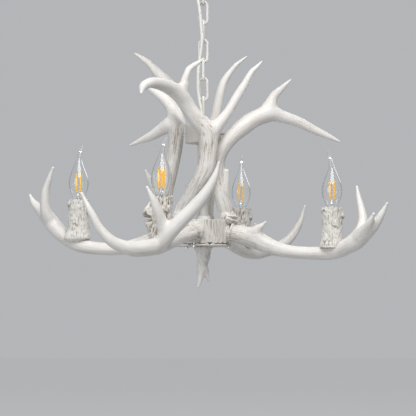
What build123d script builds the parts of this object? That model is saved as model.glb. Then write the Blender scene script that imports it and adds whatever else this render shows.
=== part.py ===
from build123d import *
from math import cos, sin, pi, radians, tan
import os

os.makedirs("parts", exist_ok=True)

# An antler chandelier. The origin is in the ceiling plane, on the axis of the fixture, and
# everything hangs below it. +X is to the right seen from the front, +Y to the back, +Z up.
# All sizes are in millimetres.

# ---------------------------------------------------------------- driving dimensions
fit_gap = 0.05            # radial clearance of a pin or shank in its hole
loose_gap = 0.3           # clearance between curved faces that only pass each other

bracket_length = 104
bracket_width = 24
bracket_thick = 2.5
bracket_slot_spacing = 70
bracket_slot_length = 16
bracket_slot_width = 5

canopy_radius = 60
canopy_height = 28
canopy_wall = 1.5
canopy_crown_radius = 26
canopy_shoulder = 9        # height and inset of the chamfer above the crown
canopy_rim = 4
nipple_radius = 5
nipple_bore_radius = 3
nut_height = 5
nut_width = 17

wire_radius = 2.35        # wire of the chain links and of both eyes
link_length = 43
link_width = 18.5
link_count = 7
link_play = 0.3           # slack between two links that hang in each other
wire_sides = 6
bend_steps = 6
eye_radius = 8.35         # centre line of the eyes at both ends of the chain
canopy_eye_drop = 31      # from the canopy's underside to the lowest wire of its eye
eye_collar_radius = 11
eye_collar_height = 8
eye_neck_radius = 6

cord_radius = 2.8
cord_sides = 8
cord_hole_radius = 4.5
bush_radius = 6.5
bush_lip = 3

upper_hub_radius = 31
upper_hub_height = 31
upper_hub_wall = 5
upper_hub_recess_radius = 16
upper_hub_recess_depth = 5
cord_entry = (-2, -22.5)  # where the cord goes into the top of the upper hub

rod_radius = 9
rod_bore_radius = 5
rod_nut_radius = 13.5
rod_nut_height = 6

lower_hub_radius = 47.5
lower_hub_height = 41
lower_hub_wall = 5
lower_hub_roof = 5
lower_hub_top_z = -466.5
bottom_plate_thick = 4
hub_collar_radius = 14
hub_collar_height = 8

arm_azimuths = {"left": 162.7, "front": -107.3, "right": -17.3, "back": 72.7}
arm_root_z = -488
arm_boss_radius = 17
arm_boss_height = 3
arm_root_radius = {"left": 15.5, "front": 14, "right": 16.5, "back": 15.5}
arm_bolt_radius = 3
arm_bolt_head_radius = 5
arm_bolt_head_height = 4
arm_bolt_reach = 24       # how far a bolt goes into its antler

burr_inset = 11.5         # from the rim of the lower hub in to the seat of a burr
burr_radius = 15
burr_seat_radius = 10.5
burr_offset = 6           # a burr bulges this far outwards from its seat
burr_screw_radius = 2.5
burr_screw_reach = 20
burr_screw_head_radius = 4.5
burr_screw_head_height = 3
tie_screw_radius = 2.2
tie_screw_head_radius = 4
tie_screw_head_height = 2.5
tie_screw_reach = 8

bulb_circle_radius = 229
drawn_circle = 229        # the bulb circle for which the lower antlers' stations are written
cup_height = 70
cup_radius = 18
cup_ridge = 1.4
cup_foot_radius = 22
cup_foot_height = 13
cup_bore_radius = 14.3
cup_floor = 9
cup_ridges = 11
cup_base_z = {"left": -495, "front": -505, "right": -516, "back": -502}

holder_radius = 12.5
holder_height = 50.5
holder_bore_radius = 7.2
holder_bore_depth = 26
lamp_nipple_radius = 4
lamp_nipple_reach = 9     # how far the nipple goes into the antler

cap_radius = 7
cap_height = 26
cap_lift = 0.5            # the cap's contact stands this far off the holder's floor
glass_wall = 0.9
glass_profile = [(0, 6.4), (4, 7.6), (10, 9.6), (18, 12.8), (27, 16.2), (36, 17.5), (46, 16.4), (57, 12.8),
                 (68, 8.4)]
glass_tip = [(77, 5.3, 0.6), (87, 3.6, 2.2), (96, 2.7, 5), (104, 1.6, 8)]
tip_lean = {"left": 35, "front": 20, "right": 200, "back": 80}
stick_count = 4
stick_turn = {"left": 45, "front": 15, "right": 38, "back": 45}
stick_radius = 1.1
stick_height = 32
stick_circle_radius = 5.2
stem_radius = 3
stem_height = 22

finial_radius = 15
finial_screw_radius = 2.5
finial_screw_reach = 18
plate_screw_radius = 1.5
plate_screw_length = 14
plate_screw_count = 3

connector_radius = 6
connector_height = 16
connector_spread = 15

limb_sides = 8
screw_sides = 8
rod_sides = 12
lamp_sides = 16
drum_sides = 28
flatness = 1e-6           # four corners this near to one plane share one facet

# ---------------------------------------------------------------- antlers
# Each limb is a list of stations: x, y, z and the radius there. The first limb of an antler is
# its beam, and the others are its tines, which start inside the beam.


def out(azimuth, radius, z=0.0):
    """A point at a distance from the axis, in a direction given in degrees."""
    return (radius * cos(radians(azimuth)), radius * sin(radians(azimuth)), z)


arm_root_distance = lower_hub_radius + arm_boss_height


def arm_root(side):
    """The first station of a lower antler: square on the boss of the hub."""
    x, y, z = out(arm_azimuths[side], arm_root_distance, arm_root_z)
    return (x, y, z, arm_root_radius[side])


lower_antlers = {
    "left": [
        [arm_root("left"), (-75, 22, -494, 14), (-112, 34, -507, 12), (-150, 45, -514, 10.5),
         (-190, 56, -512, 11), (-219, 68, -506, 12), (-240, 84, -494, 12.5), (-261, 103, -474, 13.5),
         (-281, 118, -450, 12), (-294, 128, -437, 8.5), (-302, 135, -428, 5.7), (-309, 140, -415, 1.8)],
        [(-268, 106, -466, 10), (-277, 96, -448, 10), (-279, 90, -430, 8.6), (-277, 84, -409, 7),
         (-271, 77, -390, 4.9), (-264, 70, -371, 1.8)],
    ],
    "front": [
        [arm_root("front"), (-26.5, -75, -494, 12.2), (-37.5, -103, -500, 11.5), (-53, -163, -509, 12),
         (-70, -214, -517.5, 13), (-92.5, -252, -523, 13.8), (-118, -279, -525, 11.8),
         (-145, -293, -515, 9.2), (-164, -299, -496, 7.4), (-179, -302, -469, 5.5), (-195, -300, -437, 1.8)],
        [(-74, -226, -519, 11), (-58, -245, -503, 12), (-36, -256, -479, 11.6), (-12, -262, -455, 10.8),
         (7, -268, -431, 8.6), (19, -272, -409, 5.8), (26, -274, -386, 1.8)],
        [(-61, -240, -498.5, 9.3), (-67, -250, -481, 8.6), (-74, -258, -462, 8), (-80.5, -262, -446, 5.7),
         (-86, -264, -434.5, 3.7), (-90.5, -265, -425.5, 1.8)],
    ],
    "right": [
        [arm_root("right"), (70, -22, -494, 16), (88, -28, -500, 16), (106, -34, -509, 14.4),
         (126, -39, -517, 12), (158, -49, -523, 10.7), (190, -59, -525, 11), (220, -70, -524, 12),
         (242, -88, -515, 13.3), (261, -105, -504, 12.8), (277, -120, -491, 10), (289, -130, -478, 7.7),
         (299, -136, -461, 5.3), (307, -140, -445, 1.8)],
        [(256, -101, -508, 10), (266, -96, -488, 9.6), (270, -88, -470, 8.1), (268, -81, -452, 6.4),
         (264, -75, -432, 4.6), (261, -70, -413, 1.8)],
        [(258, -106, -504, 9), (267, -122, -492, 8.2), (275, -136, -481, 6.3), (280, -144, -472, 4.6),
         (284, -150, -463, 1.8)],
        [(80, -32, -494.5, 11.1), (87.5, -35, -487, 8), (94, -38, -481.5, 6), (100.5, -40, -477, 4.3),
         (106, -42, -472, 2)],
    ],
    "back": [
        [arm_root("back"), (22, 72, -490, 13), (36, 115, -495, 12), (51, 162, -501, 11.6),
         (68, 212, -508.5, 11.8), (92, 250, -513, 12.2), (120, 275, -508, 11), (146, 290, -497, 9.4),
         (165, 297, -478, 7.6), (178, 301, -455, 5.2), (187, 301, -426, 1.8)],
        [(78, 228, -510, 10), (72, 247, -500, 10), (69, 262, -481, 8.2), (67, 270, -462, 5.6),
         (66, 274, -444, 1.8)],
        [(98, 256, -512, 9), (100, 271, -496, 7.4), (97, 281, -478, 5.2), (95, 287, -460, 2)],
    ],
}

# The places where the burrs of the upper antlers stand: three on the lower hub, and the left one
# on the beam of the left lower antler.
saddle_z = -482
burr_distance = lower_hub_radius - burr_inset
burr_seats = {
    "front": out(206, burr_distance, lower_hub_top_z),
    "right": out(-22, burr_distance, lower_hub_top_z),
    "back": out(84, burr_distance, lower_hub_top_z),
    "left": (-76, 22.5, saddle_z),
}


def burr(side):
    """The lowest stations of an upper antler: a flat seat, then the knobbly burr."""
    x, y, z = burr_seats[side]
    away = Vector(x, y, 0).normalized() * burr_offset
    return [
        (x, y, z, burr_seat_radius),
        (x + away.X, y + away.Y, z + 6, burr_radius),
        (x + away.X, y + away.Y, z + 12, burr_radius - 2),
    ]


upper_antlers = {
    "front": [
        burr("front") + [(-30, -24, -440, 13), (-19, -34, -424, 13.6), (-7, -42, -404, 14.4),
         (4, -46, -382, 14.8), (8, -47, -360, 14.6), (9, -47, -337, 14.8), (4, -49, -315, 14.8),
         (-12, -52, -295, 13.6), (-25, -56, -277, 13), (-36, -64, -261, 13), (-50, -79, -249, 12.4),
         (-65, -99, -243, 11), (-79, -121, -241, 9.6), (-91, -140, -243, 8.4), (-100, -151, -250, 7),
         (-103, -157, -261, 3)],
        [(-37, -66, -252.5, 9.5), (-32.5, -66, -237, 7.8), (-31.5, -66, -230, 6.6),
         (-28.5, -65, -221.5, 6.1), (-25.5, -63, -213.5, 5.8), (-18, -60, -206, 4.9),
         (-10, -58, -200.5, 3.8), (-4, -56, -196, 2.4), (0.5, -55, -192, 1.4)],
        [(8, -48, -330, 13), (21, -46, -310.5, 11.6), (33, -45, -296, 9.2), (45, -43, -279.5, 8),
         (53.5, -41, -264.5, 7.9), (62.5, -39, -249, 7.4), (70.5, -37, -235, 6.3), (77.5, -35, -222, 5.5),
         (84.5, -33, -211.5, 4.8), (92.5, -31, -203.5, 3.4), (98, -30, -197.5, 2.2),
         (100.5, -29, -194.5, 1.4)],
    ],
    "right": [
        burr("right") + [(36, -18, -442, 12.4), (30, -20, -424, 12), (25, -22, -400, 11.4),
         (24, -25, -378, 11.2), (28, -28, -358, 11), (36, -30, -341, 11.6), (49, -28, -324, 13),
         (64, -22, -310, 14.4), (80, -14, -297, 14.6), (98, -4, -287, 14), (116, 4, -282, 13),
         (137, 11, -286, 10.4), (165, 17, -295, 9), (197, 22, -310, 6.9), (219, 25, -320, 4.9),
         (237, 27, -328, 1.8)],
        [(105, 0, -284, 11), (115, 6, -266, 10), (122, 8, -251, 7.8), (135, 6, -238, 5.4), (151, 2, -223, 1.6)],
        [(33, -19, -434, 8), (37, -22, -418, 6.2), (40, -26, -401, 4.6), (41, -30, -383, 2.4)],
    ],
    "left": [
        burr("left") + [(-74, 20, -459, 11.6), (-69, 16, -440, 11), (-64, 13, -418, 11),
         (-59, 12, -395, 11.3), (-54, 12, -371, 11.8), (-50, 12, -347, 12), (-47, 12, -322, 11.8),
         (-46, 14, -298, 11.4), (-51, 18, -277, 11), (-61, 24, -261, 10.2), (-73, 32, -249, 8.6),
         (-86, 40, -239, 7), (-97, 48, -231, 4.6), (-105, 53, -225, 1.8)],
        [(-48, 16, -290, 10), (-58, 18, -298, 11.6), (-71, 25, -306, 10.4), (-90, 36, -317, 8.2),
         (-110, 48, -325, 5), (-128, 58, -332, 1.8)],
        [(-49, 16, -279, 9), (-43, 0, -284, 7), (-37, -13, -293, 4.6), (-31, -20, -302, 1.8)],
        [(-72, 18, -452, 8), (-80, 6, -430, 7.4), (-87, -8, -410, 6), (-94, -18, -394, 4.4), (-99, -24, -382, 1.8)],
    ],
    "back": [
        burr("back") + [(5, 42, -440, 12.8), (7, 45, -418, 12.2), (5, 47, -390, 12.4), (3, 48, -360, 12.8),
         (3, 48, -330, 13.2), (-3, 51, -306, 13.2), (-19, 62, -276, 12.6), (-38, 78, -250, 11.8),
         (-56, 94, -228, 11), (-72, 108, -210, 9.8), (-84, 119, -196, 8), (-96, 129, -182, 6.2),
         (-109, 138, -171, 4.4), (-122, 146, -161, 1.8)],
        [(4, 48, -322, 11), (16, 46, -301, 10.5), (21.5, 46, -283.5, 8.7), (24.5, 46, -266, 8.7),
         (27.5, 47, -250, 8), (30.5, 48, -237.5, 7.7), (35, 50, -223.5, 7.2), (41, 52, -212.5, 6.1),
         (50, 55, -200, 4.6), (57.5, 57, -191, 3.9), (68, 60, -182, 2.5), (75.5, 62, -176, 1.2)],
        [(4, 44, -444, 8), (-10, 41, -440, 6), (-21, 39, -432, 4.6), (-27.5, 38, -420, 3.2), (-29.5, 38, -403, 1.4)],
    ],
}

plate_bottom_z = lower_hub_top_z - lower_hub_height - bottom_plate_thick
finial_limbs = [
    [(0, 0, plate_bottom_z, finial_radius), (0, 0, plate_bottom_z - 14, 11.4), (-1, 0, plate_bottom_z - 30, 9),
     (-3, -1, plate_bottom_z - 44, 7), (-6, -3, plate_bottom_z - 58, 4.6), (-9, -4, plate_bottom_z - 70, 1.6)],
    [(0, 0, plate_bottom_z - 30, 7), (4, 2, plate_bottom_z - 45, 5.4), (9, 4, plate_bottom_z - 58, 1.8)],
]


# ---------------------------------------------------------------- shapes


def corners_about(centre, along, across, radius, sides):
    """The corners of a regular polygon about a centre, square to one direction."""
    plane = Plane(origin=centre, x_dir=across, z_dir=along)
    corners = []
    for i in range(sides):
        turn = 2 * pi * i / sides
        corners.append(plane.from_local_coords(Vector(radius * cos(turn), radius * sin(turn), 0)))
    return corners


def flat_face(corners):
    return Face(Wire.make_polygon(corners, close=True))


def skin(rings, endless=False):
    """A solid of flat facets through rings of corners; endless joins the last ring to the first."""
    faces = []
    pairs = list(zip(rings, rings[1:]))
    if endless:
        pairs.append((rings[-1], rings[0]))
    else:
        faces += [flat_face(rings[0]), flat_face(rings[-1])]
    for low, high in pairs:
        for i in range(len(low)):
            a, b = low[i - 1], low[i]
            c, d = high[i], high[i - 1]
            if abs((b - a).cross(c - a).dot(d - a)) < flatness * (c - a).length:
                faces.append(flat_face([a, b, c, d]))
            else:
                faces += [flat_face([a, b, c]), flat_face([a, c, d])]
    return Solid(Shell(faces))


def rings_along(stations, sides, first=None, last=None):
    """Polygons through stations (x, y, z, radius), each square to the path, without a twist."""
    points = [Vector(x, y, z) for x, y, z, _ in stations]
    steps = [(b - a).normalized() for a, b in zip(points, points[1:])]
    along = [first or steps[0]]
    for before, after in zip(steps, steps[1:]):
        along.append((before + after).normalized())
    along.append(last or steps[-1])
    across = along[0].cross(Vector(0, 1, 0))
    if across.length < 0.2:
        across = along[0].cross(Vector(1, 0, 0))
    rings = []
    for point, direction, station in zip(points, along, stations):
        across = (across - direction * across.dot(direction)).normalized()
        rings.append(corners_about(point, direction, across, station[3], sides))
    return rings


def tube_along(stations, sides, first=None, last=None):
    """A tapering tube of flat facets through stations (x, y, z, radius)."""
    return skin(rings_along(stations, sides, first, last))


def antler(limbs, root_direction):
    """A beam and its tines in one solid; the beam's first section faces a given direction."""
    body = tube_along(limbs[0], limb_sides, first=root_direction)
    for tine in limbs[1:]:
        body = body.fuse(tube_along(tine, limb_sides)).solid()
    return body


def rod_between(start, end, radius, sides=0):
    """A straight many-sided rod from one point to another."""
    start = Vector(start)
    run = Vector(end) - start
    away = run.normalized()
    across = away.cross(Vector(0, 0, 1)) if abs(away.Z) < 0.9 else Vector(1, 0, 0)
    outline = corners_about(start, away, across.normalized(), radius, sides or rod_sides)
    return Solid.extrude(flat_face(outline), run)


def drum(radius, height, z, sides=0):
    """An upright many-sided cylinder about the fixture's axis with its lower face at z."""
    return rod_between((0, 0, z), (0, 0, z + height), radius, sides or drum_sides)


def ring(radius, bore, height, z, sides=0):
    """A washer or tube about the fixture's axis with its lower face at z."""
    return drum(radius, height, z, sides).cut(drum(bore, height, z, sides)).solid()


def turned(profile, sides=0):
    """A many-sided solid about the fixture's axis through (radius, z) steps, closed at both ends."""
    up = Vector(0, 0, 1)
    across = Vector(1, 0, 0)
    return skin([corners_about(Vector(0, 0, z), up, across, r, sides or drum_sides) for r, z in profile])


def hexagon_prism(width, height, z):
    """A hexagonal prism about the fixture's axis with its lower face at z."""
    return rod_between((0, 0, z), (0, 0, z + height), width / 2 / cos(pi / 6), 6)


def loop_points(middle_z, half_length, half_width, steps, plane, lower):
    """Stations around one end of a link, from one leg to the other, in the XZ or YZ plane."""
    stations = []
    side = -1 if lower else 1
    for i in range(steps + 1):
        turn = pi * i / steps
        across = half_width * cos(turn)
        z = middle_z + side * (half_length + half_width * sin(turn))
        x, y = (across, 0) if plane == "XZ" else (0, across)
        stations.append((x, y, z, wire_radius))
    return stations


def endless_tube(stations):
    """A closed loop of wire of flat facets through stations (x, y, z, radius)."""
    around = [stations[-1]] + stations + [stations[0]]
    return skin(rings_along(around, wire_sides)[1:-1], endless=True)


def link(top_z, plane):
    """One chain link with the centre line of its upper crown at top_z."""
    half_width = link_width / 2 - wire_radius
    half_length = link_length / 2 - wire_radius - half_width
    middle_z = top_z - half_length - half_width
    upper = loop_points(middle_z, half_length, half_width, bend_steps, plane, lower=False)
    lower = loop_points(middle_z, half_length, half_width, bend_steps, plane, lower=True)
    return endless_tube(upper + lower[::-1])


def eye(centre_z, stem_end_z):
    """A round eye in the XZ plane with a stem that runs to stem_end_z."""
    upper = loop_points(centre_z, 0, eye_radius, bend_steps, "XZ", lower=False)
    lower = loop_points(centre_z, 0, eye_radius, bend_steps, "XZ", lower=True)
    hoop = endless_tube(upper + lower[-2:0:-1])
    side = 1 if stem_end_z > centre_z else -1
    stem_start_z = centre_z + side * (eye_radius - wire_radius / 2)
    return hoop.fuse(rod_between((0, 0, stem_start_z), (0, 0, stem_end_z), eye_neck_radius))


# ---------------------------------------------------------------- ceiling pieces
canopy_bottom_z = -canopy_height
nut_z = -bracket_thick - nut_height
nipple_end_z = canopy_bottom_z - eye_collar_height + 1


def make_ceiling_bracket():
    strap = Solid.make_box(
        bracket_length, bracket_width, bracket_thick,
        Plane((-bracket_length / 2, -bracket_width / 2, -bracket_thick)),
    )
    strap = strap.cut(drum(nipple_radius + fit_gap, bracket_thick, -bracket_thick, rod_sides))
    for side in (-1, 1):
        slot = SlotOverall(bracket_slot_length, bracket_slot_width)
        slot = extrude(slot, bracket_thick).moved(Location((side * bracket_slot_spacing / 2, 0, -bracket_thick)))
        strap = strap.cut(slot.solid())
    return strap.solid()


def make_canopy():
    shoulder_z = canopy_bottom_z + canopy_shoulder
    shoulder = canopy_radius - canopy_shoulder
    bowl = turned([
        (canopy_crown_radius, canopy_bottom_z), (shoulder, shoulder_z), (canopy_radius, -canopy_rim),
        (canopy_radius, 0),
    ])
    hollow = turned([
        (canopy_crown_radius - canopy_wall, canopy_bottom_z + canopy_wall),
        (shoulder - canopy_wall, shoulder_z + canopy_wall), (canopy_radius - canopy_wall, -canopy_rim),
        (canopy_radius - canopy_wall, 0),
    ])
    bowl = bowl.cut(hollow)
    bowl = bowl.cut(drum(nipple_radius + fit_gap, canopy_wall, canopy_bottom_z, rod_sides))
    floor_z = canopy_bottom_z + canopy_wall
    hole = rod_between((*canopy_cord_exit, canopy_bottom_z), (*canopy_cord_exit, floor_z), cord_hole_radius)
    return bowl.cut(hole).solid()


def make_canopy_loop():
    centre_z = canopy_bottom_z - canopy_eye_drop + eye_radius
    collar_z = canopy_bottom_z - eye_collar_height
    loop = eye(centre_z, collar_z).fuse(drum(eye_collar_radius, eye_collar_height, collar_z, rod_sides))
    drill = drum(nipple_radius + fit_gap, canopy_bottom_z - nipple_end_z, nipple_end_z, rod_sides)
    return loop.cut(drill).solid()


# ---------------------------------------------------------------- levels down the chain
canopy_eye_wire_z = canopy_bottom_z - canopy_eye_drop
link_step = link_length - 4 * wire_radius - link_play
first_link_z = canopy_eye_wire_z + 2 * wire_radius + link_play
link_tops = [first_link_z - i * link_step for i in range(link_count)]
last_crown_z = link_tops[-1] - (link_length - 2 * wire_radius)
top_eye_z = last_crown_z + 2 * wire_radius + link_play - eye_radius
upper_hub_top_z = top_eye_z - eye_radius + wire_radius - 1
upper_hub_bottom_z = upper_hub_top_z - upper_hub_height
recess_z = upper_hub_top_z - upper_hub_recess_depth
canopy_cord_exit = (-18, 0)

print("lowest crown", last_crown_z, "top eye", top_eye_z, "upper hub", upper_hub_top_z, upper_hub_bottom_z)


def tie_direction(side):
    """The upper antler's centre line at the middle of the upper hub, and its direction there."""
    level = (upper_hub_top_z + upper_hub_bottom_z) / 2
    beam = upper_antlers[side][0]
    for a, b in zip(beam, beam[1:]):
        if a[2] <= level <= b[2]:
            share = (level - a[2]) / (b[2] - a[2])
            return Vector(a[0] + share * (b[0] - a[0]), a[1] + share * (b[1] - a[1]), level)


def tie_screw(side, radius, reach, early=0):
    """The straight shank from inside the upper hub into an upper antler."""
    target = tie_direction(side)
    away = Vector(target.X, target.Y, 0).normalized()
    start = away * (upper_hub_radius - upper_hub_wall - early) + Vector(0, 0, target.Z)
    end = away * (Vector(target.X, target.Y, 0).length + reach) + Vector(0, 0, target.Z)
    return rod_between(start, end, radius, screw_sides)


def make_upper_hub():
    body = drum(upper_hub_radius, upper_hub_height, upper_hub_bottom_z)
    body = body.cut(drum(upper_hub_recess_radius, upper_hub_recess_depth, recess_z))
    ceiling = recess_z - upper_hub_wall
    floor = upper_hub_bottom_z + upper_hub_wall + 2
    body = body.cut(drum(upper_hub_radius - upper_hub_wall, ceiling - floor, floor))
    body = body.cut(drum(rod_radius + fit_gap, upper_hub_height, upper_hub_bottom_z, rod_sides))
    body = body.cut(drum(rod_nut_radius + fit_gap, rod_nut_height, upper_hub_bottom_z, rod_sides))
    body = body.cut(rod_between((*cord_entry, ceiling - 1), (*cord_entry, upper_hub_top_z), cord_hole_radius))
    for side in upper_antlers:
        body = body.cut(tie_screw(side, tie_screw_radius + fit_gap, 0, early=1))
    return body.solid()


def make_top_loop():
    loop = eye(top_eye_z, recess_z + 2)
    flange = drum(upper_hub_recess_radius - loose_gap, 3, recess_z)
    shank = drum(rod_bore_radius - fit_gap, 18, recess_z - 18, rod_sides)
    return loop.fuse(flange).fuse(shank).solid()


# ---------------------------------------------------------------- column and lower hub
roof_z = lower_hub_top_z - lower_hub_roof
hub_bottom_z = lower_hub_top_z - lower_hub_height
rod_bottom_z = roof_z - rod_nut_height - 2
inner_hub_radius = lower_hub_radius - lower_hub_wall
bolt_seat_radius = inner_hub_radius + 0.6


def make_centre_rod():
    length = recess_z - rod_bottom_z
    tube = ring(rod_radius, rod_bore_radius, length, rod_bottom_z, rod_sides)
    window_z = (recess_z + upper_hub_bottom_z) / 2 - 2
    window = rod_between((-rod_radius - 1, 0, window_z), (0, 0, window_z), rod_bore_radius - 1.2)
    return tube.cut(window).solid()


def make_lower_hub():
    body = drum(lower_hub_radius, lower_hub_height, hub_bottom_z)
    body = body.cut(drum(inner_hub_radius, roof_z - hub_bottom_z, hub_bottom_z))
    body = body.cut(drum(rod_radius + fit_gap, lower_hub_roof, roof_z, rod_sides))
    for azimuth in arm_azimuths.values():
        inside = out(azimuth, lower_hub_radius - 5, arm_root_z)
        body = body.fuse(rod_between(inside, out(azimuth, arm_root_distance, arm_root_z), arm_boss_radius))
        bolt_start = out(azimuth, 20, arm_root_z)
        spot = rod_between(bolt_start, out(azimuth, bolt_seat_radius, arm_root_z), arm_bolt_head_radius + 1)
        bolt_end = out(azimuth, arm_root_distance + 1, arm_root_z)
        body = body.cut(spot)
        body = body.cut(rod_between(bolt_start, bolt_end, arm_bolt_radius + fit_gap, screw_sides))
    for side in ("front", "right", "back"):
        body = body.cut(burr_screw_shank(side, burr_screw_radius + fit_gap))
    for x, y in plate_screw_places:
        end = (x, y, hub_bottom_z + plate_screw_length)
        body = body.cut(rod_between((x, y, hub_bottom_z), end, plate_screw_radius, screw_sides))
    return body.solid()


plate_screw_places = [out(10 + 360 / plate_screw_count * i, lower_hub_radius - lower_hub_wall / 2)[:2]
                      for i in range(plate_screw_count)]


def burr_screw_shank(side, radius):
    """The upright shank that holds a burr on its seat."""
    x, y, z = burr_seats[side]
    low = z - lower_hub_roof if side != "left" else saddle_z - saddle_screw_depth
    return rod_between((x, y, low), (x, y, z + burr_screw_reach), radius, screw_sides)


saddle_screw_depth = 24


def make_burr_screws():
    screws = []
    for side, (x, y, z) in burr_seats.items():
        shank = burr_screw_shank(side, burr_screw_radius)
        low = z - lower_hub_roof if side != "left" else saddle_z - saddle_screw_depth
        head = rod_between((x, y, low - burr_screw_head_height), (x, y, low), burr_screw_head_radius, screw_sides)
        screws.append(shank.fuse(head).solid())
    return screws


def make_arm_bolts():
    bolts = []
    for azimuth in arm_azimuths.values():
        seat = out(azimuth, bolt_seat_radius, arm_root_z)
        end = out(azimuth, arm_root_distance + arm_bolt_reach, arm_root_z)
        shank = rod_between(seat, end, arm_bolt_radius, screw_sides)
        head_end = out(azimuth, bolt_seat_radius - arm_bolt_head_height, arm_root_z)
        head = rod_between(seat, head_end, arm_bolt_head_radius, 6)
        bolts.append(shank.fuse(head).solid())
    return Compound(children=bolts)


def make_tie_screws():
    screws = []
    for side in upper_antlers:
        shank = tie_screw(side, tie_screw_radius, tie_screw_reach)
        target = tie_direction(side)
        away = Vector(target.X, target.Y, 0).normalized()
        inner = upper_hub_radius - upper_hub_wall
        head_end = away * (inner - 0.4) + Vector(0, 0, target.Z)
        head_start = away * (inner - 0.4 - tie_screw_head_height) + Vector(0, 0, target.Z)
        head = rod_between(head_start, head_end, tie_screw_head_radius, screw_sides)
        stub = rod_between(head_start, away * inner + Vector(0, 0, target.Z), tie_screw_radius, screw_sides)
        screws.append(shank.fuse(stub).fuse(head).solid())
    return screws


def make_bottom_plate():
    plate = drum(lower_hub_radius, bottom_plate_thick, plate_bottom_z)
    plate = plate.cut(drum(finial_screw_radius + fit_gap, bottom_plate_thick, plate_bottom_z, screw_sides))
    for x, y in plate_screw_places:
        hole_radius = plate_screw_radius + fit_gap
        hole = rod_between((x, y, plate_bottom_z), (x, y, hub_bottom_z), hole_radius, screw_sides)
        plate = plate.cut(hole)
    return plate.solid()


def make_plate_screws():
    screws = []
    for x, y in plate_screw_places:
        foot = (x, y, plate_bottom_z)
        end = (x, y, hub_bottom_z + plate_screw_length - 1)
        shank = rod_between(foot, end, plate_screw_radius, screw_sides)
        head = rod_between((x, y, plate_bottom_z - 2), foot, plate_screw_radius + 1.6, screw_sides)
        screws.append(shank.fuse(head).solid())
    return screws


def make_finial_screw():
    low = plate_bottom_z - finial_screw_reach
    shank = drum(finial_screw_radius, hub_bottom_z - low, low, screw_sides)
    head = drum(finial_screw_radius + 2.5, 3, hub_bottom_z, screw_sides)
    return shank.fuse(head).solid()


def make_hub_collar():
    top = lower_hub_top_z + hub_collar_height
    body = turned([
        (hub_collar_radius, lower_hub_top_z), (hub_collar_radius, lower_hub_top_z + 3), (rod_radius + 3, top - 1),
        (rod_radius + 2, top),
    ], rod_sides)
    return body.cut(drum(rod_radius + fit_gap, hub_collar_height, lower_hub_top_z, rod_sides)).solid()


# ---------------------------------------------------------------- lamp pieces
def place(side):
    """The foot of the candle cup on one side."""
    return out(arm_azimuths[side], bulb_circle_radius, cup_base_z[side])


def ridged(centre, radius):
    """The corners of an outline with alternate ridges and grooves, like bark."""
    corners = []
    for i in range(2 * cup_ridges):
        turn = pi * i / cup_ridges
        reach = radius + (cup_ridge if i % 2 else -cup_ridge / 2)
        corners.append(Vector(centre[0] + reach * cos(turn), centre[1] + reach * sin(turn), centre[2]))
    return corners


def make_cup(side):
    x, y, z = place(side)
    levels = [(0, cup_foot_radius - 3), (4, cup_foot_radius), (cup_foot_height, cup_radius + 0.6),
              (cup_height * 0.55, cup_radius - 0.2), (cup_height, cup_radius + 0.5)]
    body = skin([ridged((x, y, z + h), r) for h, r in levels])
    body = body.cut(rod_between((x, y, z + cup_floor), (x, y, z + cup_height), cup_bore_radius, lamp_sides))
    body = body.cut(rod_between((x, y, z), (x, y, z + cup_floor), lamp_nipple_radius + fit_gap, screw_sides))
    return body.solid()


def make_lamp_nipple(side):
    x, y, z = place(side)
    foot = (x, y, z - lamp_nipple_reach)
    top = (x, y, z + cup_floor + holder_height - holder_bore_depth - 4)
    tube = rod_between(foot, top, lamp_nipple_radius, screw_sides)
    return tube.cut(rod_between(foot, top, lamp_nipple_radius - 1.2, screw_sides)).solid()


def make_holder(side):
    x, y, z = place(side)
    low = z + cup_floor
    top = low + holder_height
    bore_z = top - holder_bore_depth
    body = rod_between((x, y, low), (x, y, top), holder_radius, lamp_sides)
    body = body.cut(rod_between((x, y, bore_z), (x, y, top), holder_bore_radius, lamp_sides))
    nipple_hole = rod_between((x, y, low), (x, y, bore_z - 4), lamp_nipple_radius + fit_gap, screw_sides)
    return body.cut(nipple_hole).solid()


def cap_foot(side):
    x, y, z = place(side)
    return x, y, z + cup_floor + holder_height - holder_bore_depth + cap_lift


def make_cap(side):
    x, y, z = cap_foot(side)
    levels = [(0, cap_radius - 3.5), (4, cap_radius - 1.2), (5, cap_radius), (cap_height, cap_radius)]
    return upright_skin([(x, y, z + h, r) for h, r in levels])


def glass_stations(side, inset):
    """Centre and radius at each level of the glass; the tip leans to one side."""
    x, y, z = cap_foot(side)
    z += cap_height
    lean = radians(tip_lean[side])
    stations = [(x, y, z + h, r - inset) for h, r in glass_profile]
    if not inset:
        stations += [(x + d * cos(lean), y + d * sin(lean), z + h, r) for h, r, d in glass_tip]
    return stations


def upright_skin(stations, sides=0):
    """A solid through level polygons (x, y, z, radius)."""
    up = Vector(0, 0, 1)
    across = Vector(1, 0, 0)
    return skin([corners_about(Vector(x, y, z), up, across, r, sides or lamp_sides) for x, y, z, r in stations])


def make_glass(side):
    outside = upright_skin(glass_stations(side, 0))
    return outside.cut(upright_skin(glass_stations(side, glass_wall))).solid()


def make_filaments(side):
    """The glass stem, the sticks that glow and the bridge that joins their tops."""
    x, y, z = cap_foot(side)
    z += cap_height
    stem = upright_skin([(x, y, z, 5), (x, y, z + 6, stem_radius), (x, y, z + stem_height, stem_circle)], 8)
    bridge_z = z + stem_height + stick_height
    for i in range(stick_count):
        turn = 2 * pi * i / stick_count + radians(stick_turn[side])
        sx = x + stick_circle_radius * cos(turn)
        sy = y + stick_circle_radius * sin(turn)
        stem = stem.fuse(rod_between((sx, sy, z + stem_height - 2), (sx, sy, bridge_z), stick_radius, 6))
    bridge = rod_between((x, y, bridge_z), (x, y, bridge_z + 1), stick_circle_radius + 1, 8)
    return stem.fuse(bridge).solid()


stem_circle = stick_circle_radius + stick_radius


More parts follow.
